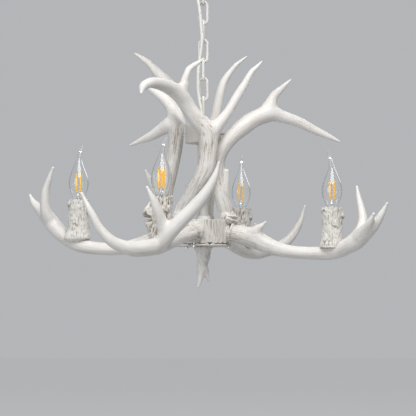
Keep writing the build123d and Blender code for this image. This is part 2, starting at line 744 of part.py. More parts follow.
def spread_limbs(side):
    """The limbs of a lower antler, moved outwards with the circle on which the bulbs stand."""
    spread = bulb_circle_radius / drawn_circle
    limbs = [[(x * spread, y * spread, z, radius) for x, y, z, radius in limb] for limb in lower_antlers[side]]
    limbs[0][0] = arm_root(side)
    return limbs


def make_lower_antler(side):
    away = Vector(*out(arm_azimuths[side], 1))
    body = antler(spread_limbs(side), away)
    x, y, z = place(side)
    body = body.cut(rod_between((x, y, z), (x, y, z + 30), cup_foot_radius + 2, lamp_sides))
    foot = (x, y, z - lamp_nipple_reach)
    body = body.cut(rod_between(foot, (x, y, z), lamp_nipple_radius + fit_gap, screw_sides))
    root = out(arm_azimuths[side], arm_root_distance, arm_root_z)
    tip = out(arm_azimuths[side], arm_root_distance + arm_bolt_reach, arm_root_z)
    body = body.cut(rod_between(root, tip, arm_bolt_radius + fit_gap, screw_sides))
    if side == "left":
        sx, sy, sz = burr_seats["left"]
        body = body.cut(rod_between((sx, sy, sz), (sx, sy, sz + 30), burr_radius + 3, lamp_sides))
        body = body.cut(burr_screw_shank("left", burr_screw_radius + fit_gap))
        low = saddle_z - saddle_screw_depth
        head_hole = rod_between((sx, sy, low - 12), (sx, sy, low), burr_screw_head_radius + fit_gap, screw_sides)
        body = body.cut(head_hole)
    return body.solid()


def make_upper_antler(side):
    body = antler(upper_antlers[side], Vector(0, 0, 1))
    body = body.cut(burr_screw_shank(side, burr_screw_radius + fit_gap))
    body = body.cut(tie_screw(side, tie_screw_radius + fit_gap, tie_screw_reach))
    return body.solid()


def make_finial():
    body = antler(finial_limbs, Vector(0, 0, -1))
    low = plate_bottom_z - finial_screw_reach
    return body.cut(drum(finial_screw_radius + fit_gap, finial_screw_reach, low, screw_sides)).solid()


# ---------------------------------------------------------------- supply cord
cord_route = [
    (*canopy_cord_exit, canopy_bottom_z + 12),
    (*canopy_cord_exit, canopy_bottom_z - 12),
    (-15, -3, -62),
    (-9, -8, -86),
    (-5, -10, -112),
    (-3.6, -11.4, -134),
    (-1.8, -12.2, -153),
    (-4, -9, -176),
    (-8.2, -7, -198),
    (-9.4, -5.6, -222),
    (-9, -6.4, -246),
    (-6, -11, -265),
    (-2.8, -18, -281),
    (*cord_entry, upper_hub_top_z + 7),
    (*cord_entry, recess_z - upper_hub_wall - 0.5),
]


def make_cord():
    points = [Vector(*p) for p in cord_route]
    radii = []
    for a, b, c in zip(points, points[1:], points[2:]):
        turn = radians((b - a).get_angle(c - b))
        radii.append(0.45 * min((b - a).length, (c - b).length) / tan(turn / 2))
    print("cord radii", [round(r) for r in radii])
    path = FilletPolyline(*points, radius=radii)
    start = Plane(origin=path @ 0, z_dir=path % 0)
    outline = start * RegularPolygon(cord_radius, cord_sides)
    tube = sweep(outline, path=path)
    print("cord volume ratio", tube.volume / (outline.area * path.length))
    return tube.solid()


def bush(x, y, z, up):
    """A flanged cord bush; its lip lies on the wall at z, on the side that up names."""
    lip = rod_between((x, y, z), (x, y, z + up * bush_lip), bush_radius)
    return lip.cut(rod_between((x, y, z), (x, y, z + up * bush_lip), cord_radius + loose_gap)).solid()


def make_connectors():
    caps = []
    for side in (-1, 1):
        x = side * connector_spread
        low = hub_bottom_z
        foot = (x, -12, low, connector_radius)
        caps.append(upright_skin([foot, (x, -12, low + connector_height, connector_radius - 2)], rod_sides))
    return Compound(children=caps)


# ---------------------------------------------------------------- write the nodes
def save(shape, node):
    export_step(shape, f"parts/{node}.step")


save(make_ceiling_bracket(), "ceiling_bracket")
nipple_length = -nipple_end_z
nipple = ring(nipple_radius, nipple_bore_radius, nipple_length - 0.5, nipple_end_z, rod_sides)
save(nipple, "canopy_nipple")
nut = hexagon_prism(nut_width, nut_height, nut_z)
save(nut.cut(drum(nipple_radius + fit_gap, nut_height, nut_z, rod_sides)).solid(), "canopy_lock_nut")
save(make_canopy(), "canopy")
save(make_canopy_loop(), "canopy_loop")
for i, top in enumerate(link_tops):
    save(link(top, "YZ" if i % 2 == 0 else "XZ"), f"chain_link_{i + 1}")
save(make_top_loop(), "top_loop")
save(bush(*canopy_cord_exit, canopy_bottom_z, -1), "canopy_cord_bush")
save(bush(*cord_entry, upper_hub_top_z, 1), "hub_cord_bush")
save(make_cord(), "power_cord")
save(make_upper_hub(), "upper_hub")
rod_nut = ring(rod_nut_radius, rod_radius + fit_gap, rod_nut_height, upper_hub_bottom_z, rod_sides)
save(rod_nut, "upper_rod_nut")
save(make_centre_rod(), "centre_rod")
lower_nut = hexagon_prism(2 * rod_nut_radius, rod_nut_height, roof_z - rod_nut_height)
lower_nut = lower_nut.cut(drum(rod_radius + fit_gap, rod_nut_height, roof_z - rod_nut_height, rod_sides))
save(lower_nut.solid(), "lower_rod_nut")
save(make_hub_collar(), "hub_collar")
save(make_lower_hub(), "lower_hub")
save(make_bottom_plate(), "hub_bottom_plate")
save(make_finial(), "finial")
save(Compound(children=make_plate_screws() + [make_finial_screw()]), "plate_screws")
save(make_arm_bolts(), "arm_bolts")
save(Compound(children=make_burr_screws() + make_tie_screws()), "antler_screws")
save(make_connectors(), "wire_connectors")
for side in arm_azimuths:
    save(make_upper_antler(side), f"upper_antler_{side}")
    save(make_lower_antler(side), f"lower_antler_{side}")
    save(make_cup(side), f"candle_cup_{side}")
    save(make_lamp_nipple(side), f"lamp_nipple_{side}")
    save(make_holder(side), f"lamp_holder_{side}")
    save(make_cap(side), f"bulb_cap_{side}")
    save(make_glass(side), f"bulb_glass_{side}")
    save(make_filaments(side), f"bulb_filaments_{side}")
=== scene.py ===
import bpy
import numpy as np
from math import cos, sin, pi, radians, tan
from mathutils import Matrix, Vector, noise


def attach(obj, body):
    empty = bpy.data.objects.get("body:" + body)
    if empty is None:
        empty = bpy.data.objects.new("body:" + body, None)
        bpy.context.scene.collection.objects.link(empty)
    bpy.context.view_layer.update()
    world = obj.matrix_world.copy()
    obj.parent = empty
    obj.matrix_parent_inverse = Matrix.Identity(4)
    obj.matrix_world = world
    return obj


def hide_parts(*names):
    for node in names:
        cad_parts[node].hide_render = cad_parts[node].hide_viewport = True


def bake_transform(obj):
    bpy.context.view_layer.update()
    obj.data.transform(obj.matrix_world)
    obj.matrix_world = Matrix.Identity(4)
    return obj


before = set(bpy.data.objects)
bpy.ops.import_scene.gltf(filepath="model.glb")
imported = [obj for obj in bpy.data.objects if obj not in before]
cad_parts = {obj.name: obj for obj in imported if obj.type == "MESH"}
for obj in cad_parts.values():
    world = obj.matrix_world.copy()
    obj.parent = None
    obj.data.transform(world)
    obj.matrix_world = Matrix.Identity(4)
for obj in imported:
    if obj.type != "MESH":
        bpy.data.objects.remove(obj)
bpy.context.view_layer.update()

# An antler chandelier. Shapes are worked out in millimetres, with the origin in the plane of the
# ceiling on the axis of the fixture, and become metres when their mesh is made.
MM = 0.001
scene = bpy.context.scene

# ---------------------------------------------------------------- sizes shared with the solids
SIDES = ("left", "front", "right", "back")
ARM_AZIMUTH = {"left": 162.7, "front": -107.3, "right": -17.3, "back": 72.7}
ARM_ROOT_DISTANCE = 50.5
ARM_ROOT_RADIUS = {"left": 15.5, "front": 14, "right": 16.5, "back": 15.5}
ARM_ROOT_Z = -488
BULB_CIRCLE = 229
CUP_BASE_Z = {"left": -495, "front": -505, "right": -516, "back": -502}
CUP_HEIGHT = 70
CUP_BORE = 14.3
CUP_FLOOR = 9

CANOPY_BOTTOM_Z = -28
UPPER_HUB_TOP_Z = -302.45
UPPER_HUB_BOTTOM_Z = -333.45
UPPER_HUB_RADIUS = 31
RECESS_Z = -307.45
RECESS_RADIUS = 16
LOWER_HUB_TOP_Z = -466.5
LOWER_HUB_BOTTOM_Z = -507.5
LOWER_HUB_RADIUS = 47.5
PLATE_BOTTOM_Z = -511.5
ROD_RADIUS = 9
ROD_BOTTOM_Z = -479.5
SADDLE_Z = -482

WIRE_RADIUS = 2.35
LINK_LENGTH = 43
LINK_WIDTH = 18.5
LINK_STEP = 33.3
LINK_COUNT = 7
FIRST_LINK_Z = -54
FIRST_CROWN_Z = -59
EYE_RADIUS = 8.35
CANOPY_EYE_Z = -50.65
TOP_EYE_Z = -295.45
CORD_RADIUS = 2.8
CANOPY_CORD_EXIT = (-18, 0)
CORD_ENTRY = (-2, -22.5)


def out(azimuth, radius, z=0.0):
    """A point at a distance from the axis, in a direction given in degrees."""
    return (radius * cos(radians(azimuth)), radius * sin(radians(azimuth)), z)


def arm_root(side):
    x, y, z = out(ARM_AZIMUTH[side], ARM_ROOT_DISTANCE, ARM_ROOT_Z)
    return (x, y, z, ARM_ROOT_RADIUS[side])


def cup_place(side):
    return out(ARM_AZIMUTH[side], BULB_CIRCLE, CUP_BASE_Z[side])


# Each limb is a list of stations: x, y, z and the radius there. The first limb is the beam.
LOWER_ANTLERS = {
    "left": [
        [arm_root("left"), (-75, 22, -494, 14), (-112, 34, -507, 12), (-150, 45, -514, 10.5),
         (-190, 56, -512, 11), (-219, 68, -506, 12), (-240, 84, -494, 12.5), (-261, 103, -474, 13.5),
         (-281, 118, -450, 12), (-294, 128, -437, 8.5), (-302, 135, -428, 5.7), (-309, 140, -415, 1.8)],
        [(-268, 106, -466, 10), (-277, 96, -448, 10), (-279, 90, -430, 8.6), (-277, 84, -409, 7),
         (-271, 77, -390, 4.9), (-264, 70, -371, 1.8)],
    ],
    "front": [
        [arm_root("front"), (-26.5, -75, -494, 12.2), (-37.5, -103, -500, 11.5), (-53, -163, -509, 12),
         (-70, -214, -517.5, 13), (-92.5, -252, -523, 13.8), (-118, -279, -525, 11.8),
         (-145, -293, -515, 9.2), (-164, -299, -496, 7.4), (-179, -302, -469, 5.5),
         (-195, -300, -437, 1.8)],
        [(-74, -226, -519, 11), (-58, -245, -503, 12), (-36, -256, -479, 11.6), (-12, -262, -455, 10.8),
         (7, -268, -431, 8.6), (19, -272, -409, 5.8), (26, -274, -386, 1.8)],
        [(-61, -240, -498.5, 9.3), (-67, -250, -481, 8.6), (-74, -258, -462, 8), (-80.5, -262, -446, 5.7),
         (-86, -264, -434.5, 3.7), (-90.5, -265, -425.5, 1.8)],
    ],
    "right": [
        [arm_root("right"), (70, -22, -494, 16), (88, -28, -500, 16), (106, -34, -509, 14.4),
         (126, -39, -517, 12), (158, -49, -523, 10.7), (190, -59, -525, 11), (220, -70, -524, 12),
         (242, -88, -515, 13.3), (261, -105, -504, 12.8), (277, -120, -491, 10), (289, -130, -478, 7.7),
         (299, -136, -461, 5.3), (307, -140, -445, 1.8)],
        [(256, -101, -508, 10), (266, -96, -488, 9.6), (270, -88, -470, 8.1), (268, -81, -452, 6.4),
         (264, -75, -432, 4.6), (261, -70, -413, 1.8)],
        [(258, -106, -504, 9), (267, -122, -492, 8.2), (275, -136, -481, 6.3), (280, -144, -472, 4.6),
         (284, -150, -463, 1.8)],
        [(80, -32, -494.5, 11.1), (87.5, -35, -487, 8), (94, -38, -481.5, 6), (100.5, -40, -477, 4.3),
         (106, -42, -472, 2)],
    ],
    "back": [
        [arm_root("back"), (22, 72, -490, 13), (36, 115, -495, 12), (51, 162, -501, 11.6),
         (68, 212, -508.5, 11.8), (92, 250, -513, 12.2), (120, 275, -508, 11), (146, 290, -497, 9.4),
         (165, 297, -478, 7.6), (178, 301, -455, 5.2), (187, 301, -426, 1.8)],
        [(78, 228, -510, 10), (72, 247, -500, 10), (69, 262, -481, 8.2), (67, 270, -462, 5.6),
         (66, 274, -444, 1.8)],
        [(98, 256, -512, 9), (100, 271, -496, 7.4), (97, 281, -478, 5.2), (95, 287, -460, 2)],
    ],
}

BURR_SEATS = {
    "front": out(206, 36, LOWER_HUB_TOP_Z),
    "right": out(-22, 36, LOWER_HUB_TOP_Z),
    "back": out(84, 36, LOWER_HUB_TOP_Z),
    "left": (-76, 22.5, SADDLE_Z),
}


def burr(side):
    """The lowest stations of an upper antler: a flat seat, then the knobbly burr."""
    x, y, z = BURR_SEATS[side]
    away = Vector((x, y, 0)).normalized() * 6
    return [(x, y, z, 10.5), (x + away.x, y + away.y, z + 6, 15), (x + away.x, y + away.y, z + 12, 13)]


UPPER_ANTLERS = {
    "front": [
        burr("front") + [(-30, -24, -440, 13), (-19, -34, -424, 13.6), (-7, -42, -404, 14.4),
         (4, -46, -382, 14.8), (8, -47, -360, 14.6), (9, -47, -337, 14.8), (4, -49, -315, 14.8),
         (-12, -52, -295, 13.6), (-25, -56, -277, 13), (-36, -64, -261, 13), (-50, -79, -249, 12.4),
         (-65, -99, -243, 11), (-79, -121, -241, 9.6), (-91, -140, -243, 8.4), (-100, -151, -250, 7),
         (-103, -157, -261, 3)],
        [(-37, -66, -252.5, 9.5), (-32.5, -66, -237, 7.8), (-31.5, -66, -230, 6.6),
         (-28.5, -65, -221.5, 6.1), (-25.5, -63, -213.5, 5.8), (-18, -60, -206, 4.9),
         (-10, -58, -200.5, 3.8), (-4, -56, -196, 2.4), (0.5, -55, -192, 1.4)],
        [(8, -48, -330, 13), (21, -46, -310.5, 11.6), (33, -45, -296, 9.2), (45, -43, -279.5, 8),
         (53.5, -41, -264.5, 7.9), (62.5, -39, -249, 7.4), (70.5, -37, -235, 6.3), (77.5, -35, -222, 5.5),
         (84.5, -33, -211.5, 4.8), (92.5, -31, -203.5, 3.4), (98, -30, -197.5, 2.2),
         (100.5, -29, -194.5, 1.4)],
    ],
    "right": [
        burr("right") + [(36, -18, -442, 12.4), (30, -20, -424, 12), (25, -22, -400, 11.4),
         (24, -25, -378, 11.2), (28, -28, -358, 11), (36, -30, -341, 11.6), (49, -28, -324, 13),
         (64, -22, -310, 14.4), (80, -14, -297, 14.6), (98, -4, -287, 14), (116, 4, -282, 13),
         (137, 11, -286, 10.4), (165, 17, -295, 9), (197, 22, -310, 6.9), (219, 25, -320, 4.9),
         (237, 27, -328, 1.8)],
        [(105, 0, -284, 11), (115, 6, -266, 10), (122, 8, -251, 7.8), (135, 6, -238, 5.4),
         (151, 2, -223, 1.6)],
        [(33, -19, -434, 8), (37, -22, -418, 6.2), (40, -26, -401, 4.6), (41, -30, -383, 2.4)],
    ],
    "left": [
        burr("left") + [(-74, 20, -459, 11.6), (-69, 16, -440, 11), (-64, 13, -418, 11),
         (-59, 12, -395, 11.3), (-54, 12, -371, 11.8), (-50, 12, -347, 12), (-47, 12, -322, 11.8),
         (-46, 14, -298, 11.4), (-51, 18, -277, 11), (-61, 24, -261, 10.2), (-73, 32, -249, 8.6),
         (-86, 40, -239, 7), (-97, 48, -231, 4.6), (-105, 53, -225, 1.8)],
        [(-48, 16, -290, 10), (-58, 18, -298, 11.6), (-71, 25, -306, 10.4), (-90, 36, -317, 8.2),
         (-110, 48, -325, 5), (-128, 58, -332, 1.8)],
        [(-49, 16, -279, 9), (-43, 0, -284, 7), (-37, -13, -293, 4.6), (-31, -20, -302, 1.8)],
        [(-72, 18, -452, 8), (-80, 6, -430, 7.4), (-87, -8, -410, 6), (-94, -18, -394, 4.4),
         (-99, -24, -382, 1.8)],
    ],
    "back": [
        burr("back") + [(5, 42, -440, 12.8), (7, 45, -418, 12.2), (5, 47, -390, 12.4), (3, 48, -360, 12.8),
         (3, 48, -330, 13.2), (-3, 51, -306, 13.2), (-19, 62, -276, 12.6), (-38, 78, -250, 11.8),
         (-56, 94, -228, 11), (-72, 108, -210, 9.8), (-84, 119, -196, 8), (-96, 129, -182, 6.2),
         (-109, 138, -171, 4.4), (-122, 146, -161, 1.8)],
        [(4, 48, -322, 11), (16, 46, -301, 10.5), (21.5, 46, -283.5, 8.7), (24.5, 46, -266, 8.7),
         (27.5, 47, -250, 8), (30.5, 48, -237.5, 7.7), (35, 50, -223.5, 7.2), (41, 52, -212.5, 6.1),
         (50, 55, -200, 4.6), (57.5, 57, -191, 3.9), (68, 60, -182, 2.5), (75.5, 62, -176, 1.2)],
        [(4, 44, -444, 8), (-10, 41, -440, 6), (-21, 39, -432, 4.6), (-27.5, 38, -420, 3.2),
         (-29.5, 38, -403, 1.4)],
    ],
}

FINIAL = [
    [(0, 0, PLATE_BOTTOM_Z, 15), (0, 0, PLATE_BOTTOM_Z - 14, 11.4), (-1, 0, PLATE_BOTTOM_Z - 30, 9),
     (-3, -1, PLATE_BOTTOM_Z - 44, 7), (-6, -3, PLATE_BOTTOM_Z - 58, 4.6),
     (-9, -4, PLATE_BOTTOM_Z - 70, 1.6)],
    [(0, 0, PLATE_BOTTOM_Z - 30, 7), (4, 2, PLATE_BOTTOM_Z - 45, 5.4), (9, 4, PLATE_BOTTOM_Z - 58, 1.8)],
]

CORD_ROUTE = [
    (*CANOPY_CORD_EXIT, -16), (*CANOPY_CORD_EXIT, -40), (-15, -3, -62), (-9, -8, -86), (-5, -10, -112),
    (-3.6, -11.4, -134), (-1.8, -12.2, -153), (-4, -9, -176), (-8.2, -7, -198), (-9.4, -5.6, -222),
    (-9, -6.4, -246), (-6, -11, -265), (-2.8, -18, -281), (*CORD_ENTRY, -295.45), (*CORD_ENTRY, -312.95),
]

# ---------------------------------------------------------------- how the visible surfaces are shaped
# The web of a fork that rounds off its corner, the least radius of a tip, the stretch before a tip over
# which the grain fades, and the size and height of the lumps.
WEB = {"upper": 4.4, "lower": 4.4, "tip": 1.6}
TIP_RADIUS = {"upper": 1.5, "lower": 2.5, "tip": 1.9}
TIP_FADE = {"upper": (8, 50), "lower": (8, 50), "tip": (3, 12)}
LUMPS = {"upper": ((18.0, 18.0, 30.0), 0.55), "lower": ((18.0, 18.0, 30.0), 0.55),
         "tip": ((6.0, 6.0, 9.0), 2.4)}
# Which way each burr spreads out into a ragged skirt, and how far.
BURR_FLARE = {"front": (-3, -1.5, 0), "right": (8.5, -2, -1), "left": (-2, -2, 0), "back": (-2, 3, 0)}
# The stretch along each upper beam over which its rough trunk becomes smooth.
TRUNK_END = {"front": (150, 250), "right": (95, 180), "left": (150, 250), "back": (150, 250)}

# The heading of each lower beam where it passes under its cup, in degrees.
BEAM_HEADING = {"left": 150, "front": -118, "right": -30, "back": 60}
# A cup's wall as heights and radii, how far its foot hangs down beside the beam, and its bark's depth.
CUP_PROFILE = [(0, 21.2), (5, 21.0), (9, 20.0), (14, 18.8), (24, 17.9), (38, 17.4), (56, 17.9), (70, 18.6)]
CUP_MEAN_RADIUS = 18.5
FOOT_DROP = {"left": 8, "front": 9, "right": 0.8, "back": 4}
BARK_DEPTH = {"left": 0.85, "front": 1.45, "right": 0.8, "back": 1.2}
# Flakes of bark that stand off the wall: direction, root and lip above the base, width in degrees, lift.
FLAKES = {
    "left": [(200, 68, 58, 26, 2.4), (330, 66, 60, 22, 2.0), (255, 40, 26, 24, 1.2),
             (20, 34, 20, 30, 1.6), (120, 60, 42, 34, 1.8), (60, 30, 12, 30, 1.5), (196, 20, -5, 44, 4.6)],
    "front": [(176, 64, 37.5, 34, 13.0), (184, 8, 25.5, 32, 9.0), (300, 66, 44, 26, 2.4),
              (335, 36, 16, 28, 2.2), (262, 58, 40, 20, 1.4), (60, 60, 36, 36, 2.2),
              (110, 30, 12, 30, 1.8)],
    "right": [(355, 66, 52, 26, 3.2), (215, 68, 62, 24, 1.8), (285, 50, 36, 24, 1.3),
              (240, 26, 12, 26, 1.4), (60, 60, 40, 34, 2.0), (140, 34, 16, 34, 1.8)],
    "back": [(350, 66, 50, 28, 2.6), (200, 60, 44, 26, 2.0), (270, 40, 24, 28, 1.6), (90, 60, 36, 36, 2.2),
             (40, 30, 14, 26, 1.4)],
}

# The bulb's glass: height above its foot, radius, and how far the flame tip leans out.
GLASS_LINE = [(0, 6.4, 0), (4, 7.6, 0), (10, 9.6, 0), (18, 12.8, 0), (27, 16.2, 0), (36, 17.5, 0),
              (46, 16.4, 0), (57, 12.8, 0), (68, 8.4, 0.1), (77, 5.3, 0.6), (87, 3.6, 2.2), (96, 2.7, 5),
              (104, 1.6, 8)]
GLASS_WALL = 0.8
GLASS_HOLLOW = 92                       # height above which the tip is nearly solid
TIP_LEAN = {"left": 35, "front": 20, "right": 200, "back": 80}
STICK_TURN = {"left": 45, "front": 15, "right": 38, "back": 45}
STICK_RADIUS, STICK_WIRE_RADIUS = 1.3, 0.28
STICK_PLACES = ((2.6, 17.5), (4.9, 21), (5.5, 53))    # radius and height of its wire's root and its ends
STEM_PROFILE = [(0.01, 0.3), (5, 0.3), (3.6, 4), (2.8, 8), (2.4, 15), (3.2, 19), (3.0, 22), (1.2, 23.2),
                (0.9, 50), (0.01, 50.6)]
CAP_FOOT, CAP_HEIGHT = 34, 26           # above the cup's base, and from there to the glass
CONTACT_PROFILE = [(0.6, 0), (3.2, 0.1), (3.5, 0.8), (4.3, 2.2), (5.7, 4.0)]
CAP_RIM_PROFILE = [(6.9, 25.2), (6.9, 26.0), (6.0, 26.2)]
THREAD_LOW, THREAD_HIGH, THREAD_PITCH = 5, 24.5, 2.8
THREAD_RADIUS, THREAD_DEPTH = 6.62, 0.34
HOLDER_TOP, SOCKET_FLOOR = 59.5, 33.5   # above the cup's base

# How fine the meshes are: the steps of a limb's line, the sides of round pieces, the rows and columns of a
# cup, the faces of even skins, the stations and points of one search, and the bend that is no corner.
LIMB_STEP, LIMB_SIDES = 1.5, 28
CORD_SIDES, GLASS_SIDES, CAP_SIDES = 24, 72, 48
CUP_COLUMNS, CUP_ROWS, FOOT_ROWS = 180, 112, 7
ANTLER_VOXEL, BARK_VOXEL = 1.1, 1.0
COARSE, BLOCK = 6, 8000
NEARLY_STRAIGHT = 0.25

# The studio, in metres.
FLOOR_Z, FLOOR_REACH = -0.92, 30.0
LIGHT_AIM = Vector((0, 0, -0.4))
CAMERA_AIM, CAMERA_RISE, CAMERA_DISTANCE = Vector((0.0081, 0, -0.445)), radians(3), 4.35


# ---------------------------------------------------------------- finishes
class Value:
    """A node's output; sums made with it become Math nodes."""

    def __init__(self, nodes, socket):
        self.nodes, self.socket = nodes, socket

    def __add__(self, other):
        return self.nodes.math("ADD", self, other)

    def __sub__(self, other):
        return self.nodes.math("SUBTRACT", self, other)

    def __rsub__(self, other):
        return self.nodes.math("SUBTRACT", other, self)

    def __mul__(self, other):
        return self.nodes.math("MULTIPLY", self, other)

    def __abs__(self):
        return self.nodes.math("ABSOLUTE", self)

    def clamped(self):
        self.socket.node.use_clamp = True
        return self


class Nodes:
    """A node tree whose nodes are fed as they are added."""

    def __init__(self, tree):
        self.tree = tree

    def feed(self, place, value):
        value = value.socket if isinstance(value, Value) else value
        if isinstance(value, bpy.types.NodeSocket):
            self.tree.links.new(value, place)
        else:
            place.default_value = value

    def add(self, kind, feeds=None, **settings):
        """A new node; feeds maps its inputs to values or to other nodes' outputs."""
        node = self.tree.nodes.new(kind)
        for label, value in settings.items():
            setattr(node, label, value)
        for label, value in (feeds or {}).items():
            self.feed(node.inputs[label], value)
        return node

    def value(self, kind, feeds=None, output=0, **settings):
        return Value(self, self.add(kind, feeds, **settings).outputs[output])

    def math(self, operation, first, second=0.0):
        return self.value("ShaderNodeMath", {0: first, 1: second}, operation=operation)


class Finish(Nodes):
    """A material with a Principled shader."""

    def __init__(self, name, roughness=0.5, **settings):
        self.material = bpy.data.materials.new(name)
        self.material.use_nodes = True
        super().__init__(self.material.node_tree)
        self.shader = self.tree.nodes["Principled BSDF"]
        self.feed(self.shader.inputs["Roughness"], roughness)
        for label, value in settings.items():
            self.feed(self.shader.inputs[label.replace("_", " ")], value)

    def ramp(self, value, *stops):
        """A colour ramp through (place, colour) stops; a plain number is a grey."""
        node = self.add("ShaderNodeValToRGB", {"Fac": value})
        elements = node.color_ramp.elements
        elements[0].position, elements[1].position = stops[0][0], stops[-1][0]
        for place, _ in stops[1:-1]:
            elements.new(place)
        for element, (_, colour) in zip(elements, stops):
            element.color = (*colour, 1) if isinstance(colour, tuple) else (colour, colour, colour, 1)
        return Value(self, node.outputs["Color"])

    def noise(self, vector, scale, detail=4.0, roughness=0.55):
        feeds = {"Vector": vector, "Scale": scale, "Detail": detail, "Roughness": roughness}
        return self.value("ShaderNodeTexNoise", feeds, "Fac")

    def stretched(self, vector, scale):
        feeds = {"Vector": vector, "Scale": scale}
        return self.value("ShaderNodeMapping", feeds, "Vector", vector_type="TEXTURE")

    def along_grain(self, cell, detail=4.0, roughness=0.55):
        """Noise with cells of a size across, across and along the grain (millimetres)."""
        return self.noise(self.stretched(self.attribute("grain", "Vector"), cell), 1.0, detail, roughness)

    def place(self):
        return self.value("ShaderNodeTexCoord", output="Object")

    def attribute(self, name, output):
        return self.value("ShaderNodeAttribute", output=output, attribute_name=name)

    def colour(self, value):
        self.feed(self.shader.inputs["Base Color"], value)

    def rough(self, value):
        self.feed(self.shader.inputs["Roughness"], value)

    def bump(self, height, distance, strength=1.0):
        feeds = {"Height": height, "Distance": distance * MM, "Strength": strength}
        self.feed(self.shader.inputs["Normal"], self.value("ShaderNodeBump", feeds, "Normal"))


def antler_finish():
    """Cast resin, white, with a thin brown wash left in the grain, the grooves and the pits."""
    f = Finish("antler_resin", 0.46, Specular_IOR_Level=0.45)
    groove, trunk = f.attribute("groove", "Fac"), f.attribute("trunk", "Fac")
    streak = f.along_grain((1.6, 1.6, 55), 5, 0.6)
    hair = f.along_grain((2.3, 2.3, 85), 3, 0.65)
    fine = f.along_grain((0.8, 0.8, 16), 4, 0.6)
    cloud = f.along_grain((20, 20, 60), 3)
    hairline = (1.0 - abs(hair - 0.5) * 26.0).clamped()
    wash = (streak - 0.5) * (trunk + 0.5) + (cloud - 0.5) * 0.8 + hairline * (trunk * 0.42 + 0.1)
    wash = (wash + groove * 0.54 + 0.09).clamped()
    f.colour(f.ramp(wash, (0.0, (0.82, 0.80, 0.775)), (0.22, (0.77, 0.74, 0.705)),
                    (0.45, (0.645, 0.605, 0.555)), (0.72, (0.44, 0.385, 0.315)),
                    (1.0, (0.27, 0.205, 0.145))))
    f.rough(f.ramp(wash, (0.0, 0.42), (0.5, 0.58), (1.0, 0.8)))
    f.bump(fine * (trunk + 0.08) + streak * (trunk + 0.1) - hairline * (trunk * 0.2), 0.42, 0.8)
    return f.material


def bark_finish():
    """Cast resin with a bark grain: pale ridges, and a thin beige wash in the cracks; on the cups the
    cracks also carry a painted shade below the flakes.
    """
    f = Finish("bark_resin", 0.66, Specular_IOR_Level=0.3)
    streak = f.along_grain((1.0, 1.0, 15), 5, 0.6)
    speck = f.along_grain((0.8, 0.8, 1.8), 3, 0.6)
    cloud = f.along_grain((14, 14, 22), 3)
    wash = (streak - 0.5) * 0.9 + (speck - 0.5) * 0.25 + (cloud - 0.5) * 0.5
    wash = (wash + f.attribute("groove", "Fac") * 0.8 + 0.12).clamped()
    f.colour(f.ramp(wash, (0.0, (0.80, 0.785, 0.755)), (0.25, (0.69, 0.665, 0.615)),
                    (0.5, (0.51, 0.47, 0.405)), (0.78, (0.32, 0.27, 0.205)), (1.0, (0.18, 0.14, 0.10))))
    f.bump(streak + speck * 0.8, 0.55, 0.9)
    return f.material


def painted_steel_finish(name, unworn, chip_depth):
    """Off-white paint on steel, rubbed through to a warm grey in places."""
    f = Finish(name, 0.42)
    cloud, chips = f.noise(f.place(), 90.0, 4), f.noise(f.place(), 420.0, 5, 0.7)
    wear = ((cloud + chips - unworn) * 5.0).clamped()
    f.colour(f.ramp(wear, (0.0, (0.82, 0.80, 0.765)), (0.55, (0.74, 0.71, 0.66)),
                    (1.0, (0.47, 0.42, 0.355))))
    f.rough(f.ramp(cloud, (0.3, 0.36), (0.7, 0.52)))
    f.bump(chips, chip_depth, 0.5)
    return f.material


def column_finish(name, light, middle, dark):
    """Paint with faint brush marks."""
    f = Finish(name)
    brush = f.noise(f.stretched(f.place(), (1.0, 1.0, 9.0)), 900.0, 4)
    tone = brush * 0.4 + f.noise(f.place(), 35.0, 3) * 0.6
    f.colour(f.ramp(tone, (0.3, light), (0.55, middle), (0.75, dark)))
    f.rough(f.ramp(tone, (0.3, 0.42), (0.7, 0.6)))
    f.bump(brush, 0.06, 0.6)
    return f.material


def cord_finish():
    """Off-white sheath, a little dusty."""
    f = Finish("cord_sheath")
    cloud = f.noise(f.place(), 60.0, 4)
    f.colour(f.ramp(cloud, (0.3, (0.84, 0.83, 0.795)), (0.6, (0.78, 0.765, 0.725)),
                    (0.8, (0.70, 0.68, 0.63))))
    f.bump(f.noise(f.place(), 1500.0, 2), 0.05, 0.4)
    return f.material


def plastic_finish(name, light, dark, roughness):
    """Moulded plastic with a fine orange-peel skin."""
    f = Finish(name, roughness)
    f.colour(f.ramp(f.noise(f.place(), 45.0, 3), (0.35, light), (0.7, dark)))
    f.bump(f.noise(f.place(), 1300.0, 2), 0.04, 0.4)
    return f.material


def metal_finish(name, light, dark, roughness):
    """Plated steel with fine scratches and dull patches."""
    f = Finish(name, roughness, Metallic=1.0)
    cloud = f.noise(f.place(), 70.0, 4)
    scratches = f.noise(f.stretched(f.place(), (6.0, 1.0, 1.0)), 1600.0, 3)
    f.colour(f.ramp(cloud, (0.35, light), (0.7, dark)))
    f.rough(f.ramp(cloud * scratches, (0.15, roughness * 0.8), (0.4, min(1, roughness * 1.5))))
    f.bump(scratches, 0.03, 0.4)
    return f.material


def glass_finish(name, roughness, tint, edge):
    """Clear glass, deeper in tone where it is seen along its wall: a painted shade that darkens its
    outline.
    """
    f = Finish(name, roughness, Transmission_Weight=1.0, IOR=1.46)
    # painted shade: the colour goes from the tint to the darker edge colour as the wall turns edge-on
    facing = f.value("ShaderNodeLayerWeight", {"Blend": 0.28}, "Facing")
    f.colour(f.ramp(facing, (0.3, tint), (0.6, edge)))
    f.bump(f.noise(f.place(), 40.0, 1), 0.05, 0.1)
    return f.material


def stick_finish():
    """The amber coating of a filament stick, with a fine grain and a weak glow."""
    f = Finish("filament", 0.45, Emission_Strength=0.4)
    grain = f.noise(f.place(), 900.0, 3)
    tone = f.ramp(grain, (0.3, (0.84, 0.44, 0.035)), (0.7, (0.93, 0.55, 0.07)))
    f.colour(tone)
    f.feed(f.shader.inputs["Emission Color"], tone)
    f.bump(grain, 0.05, 0.5)
    return f.material


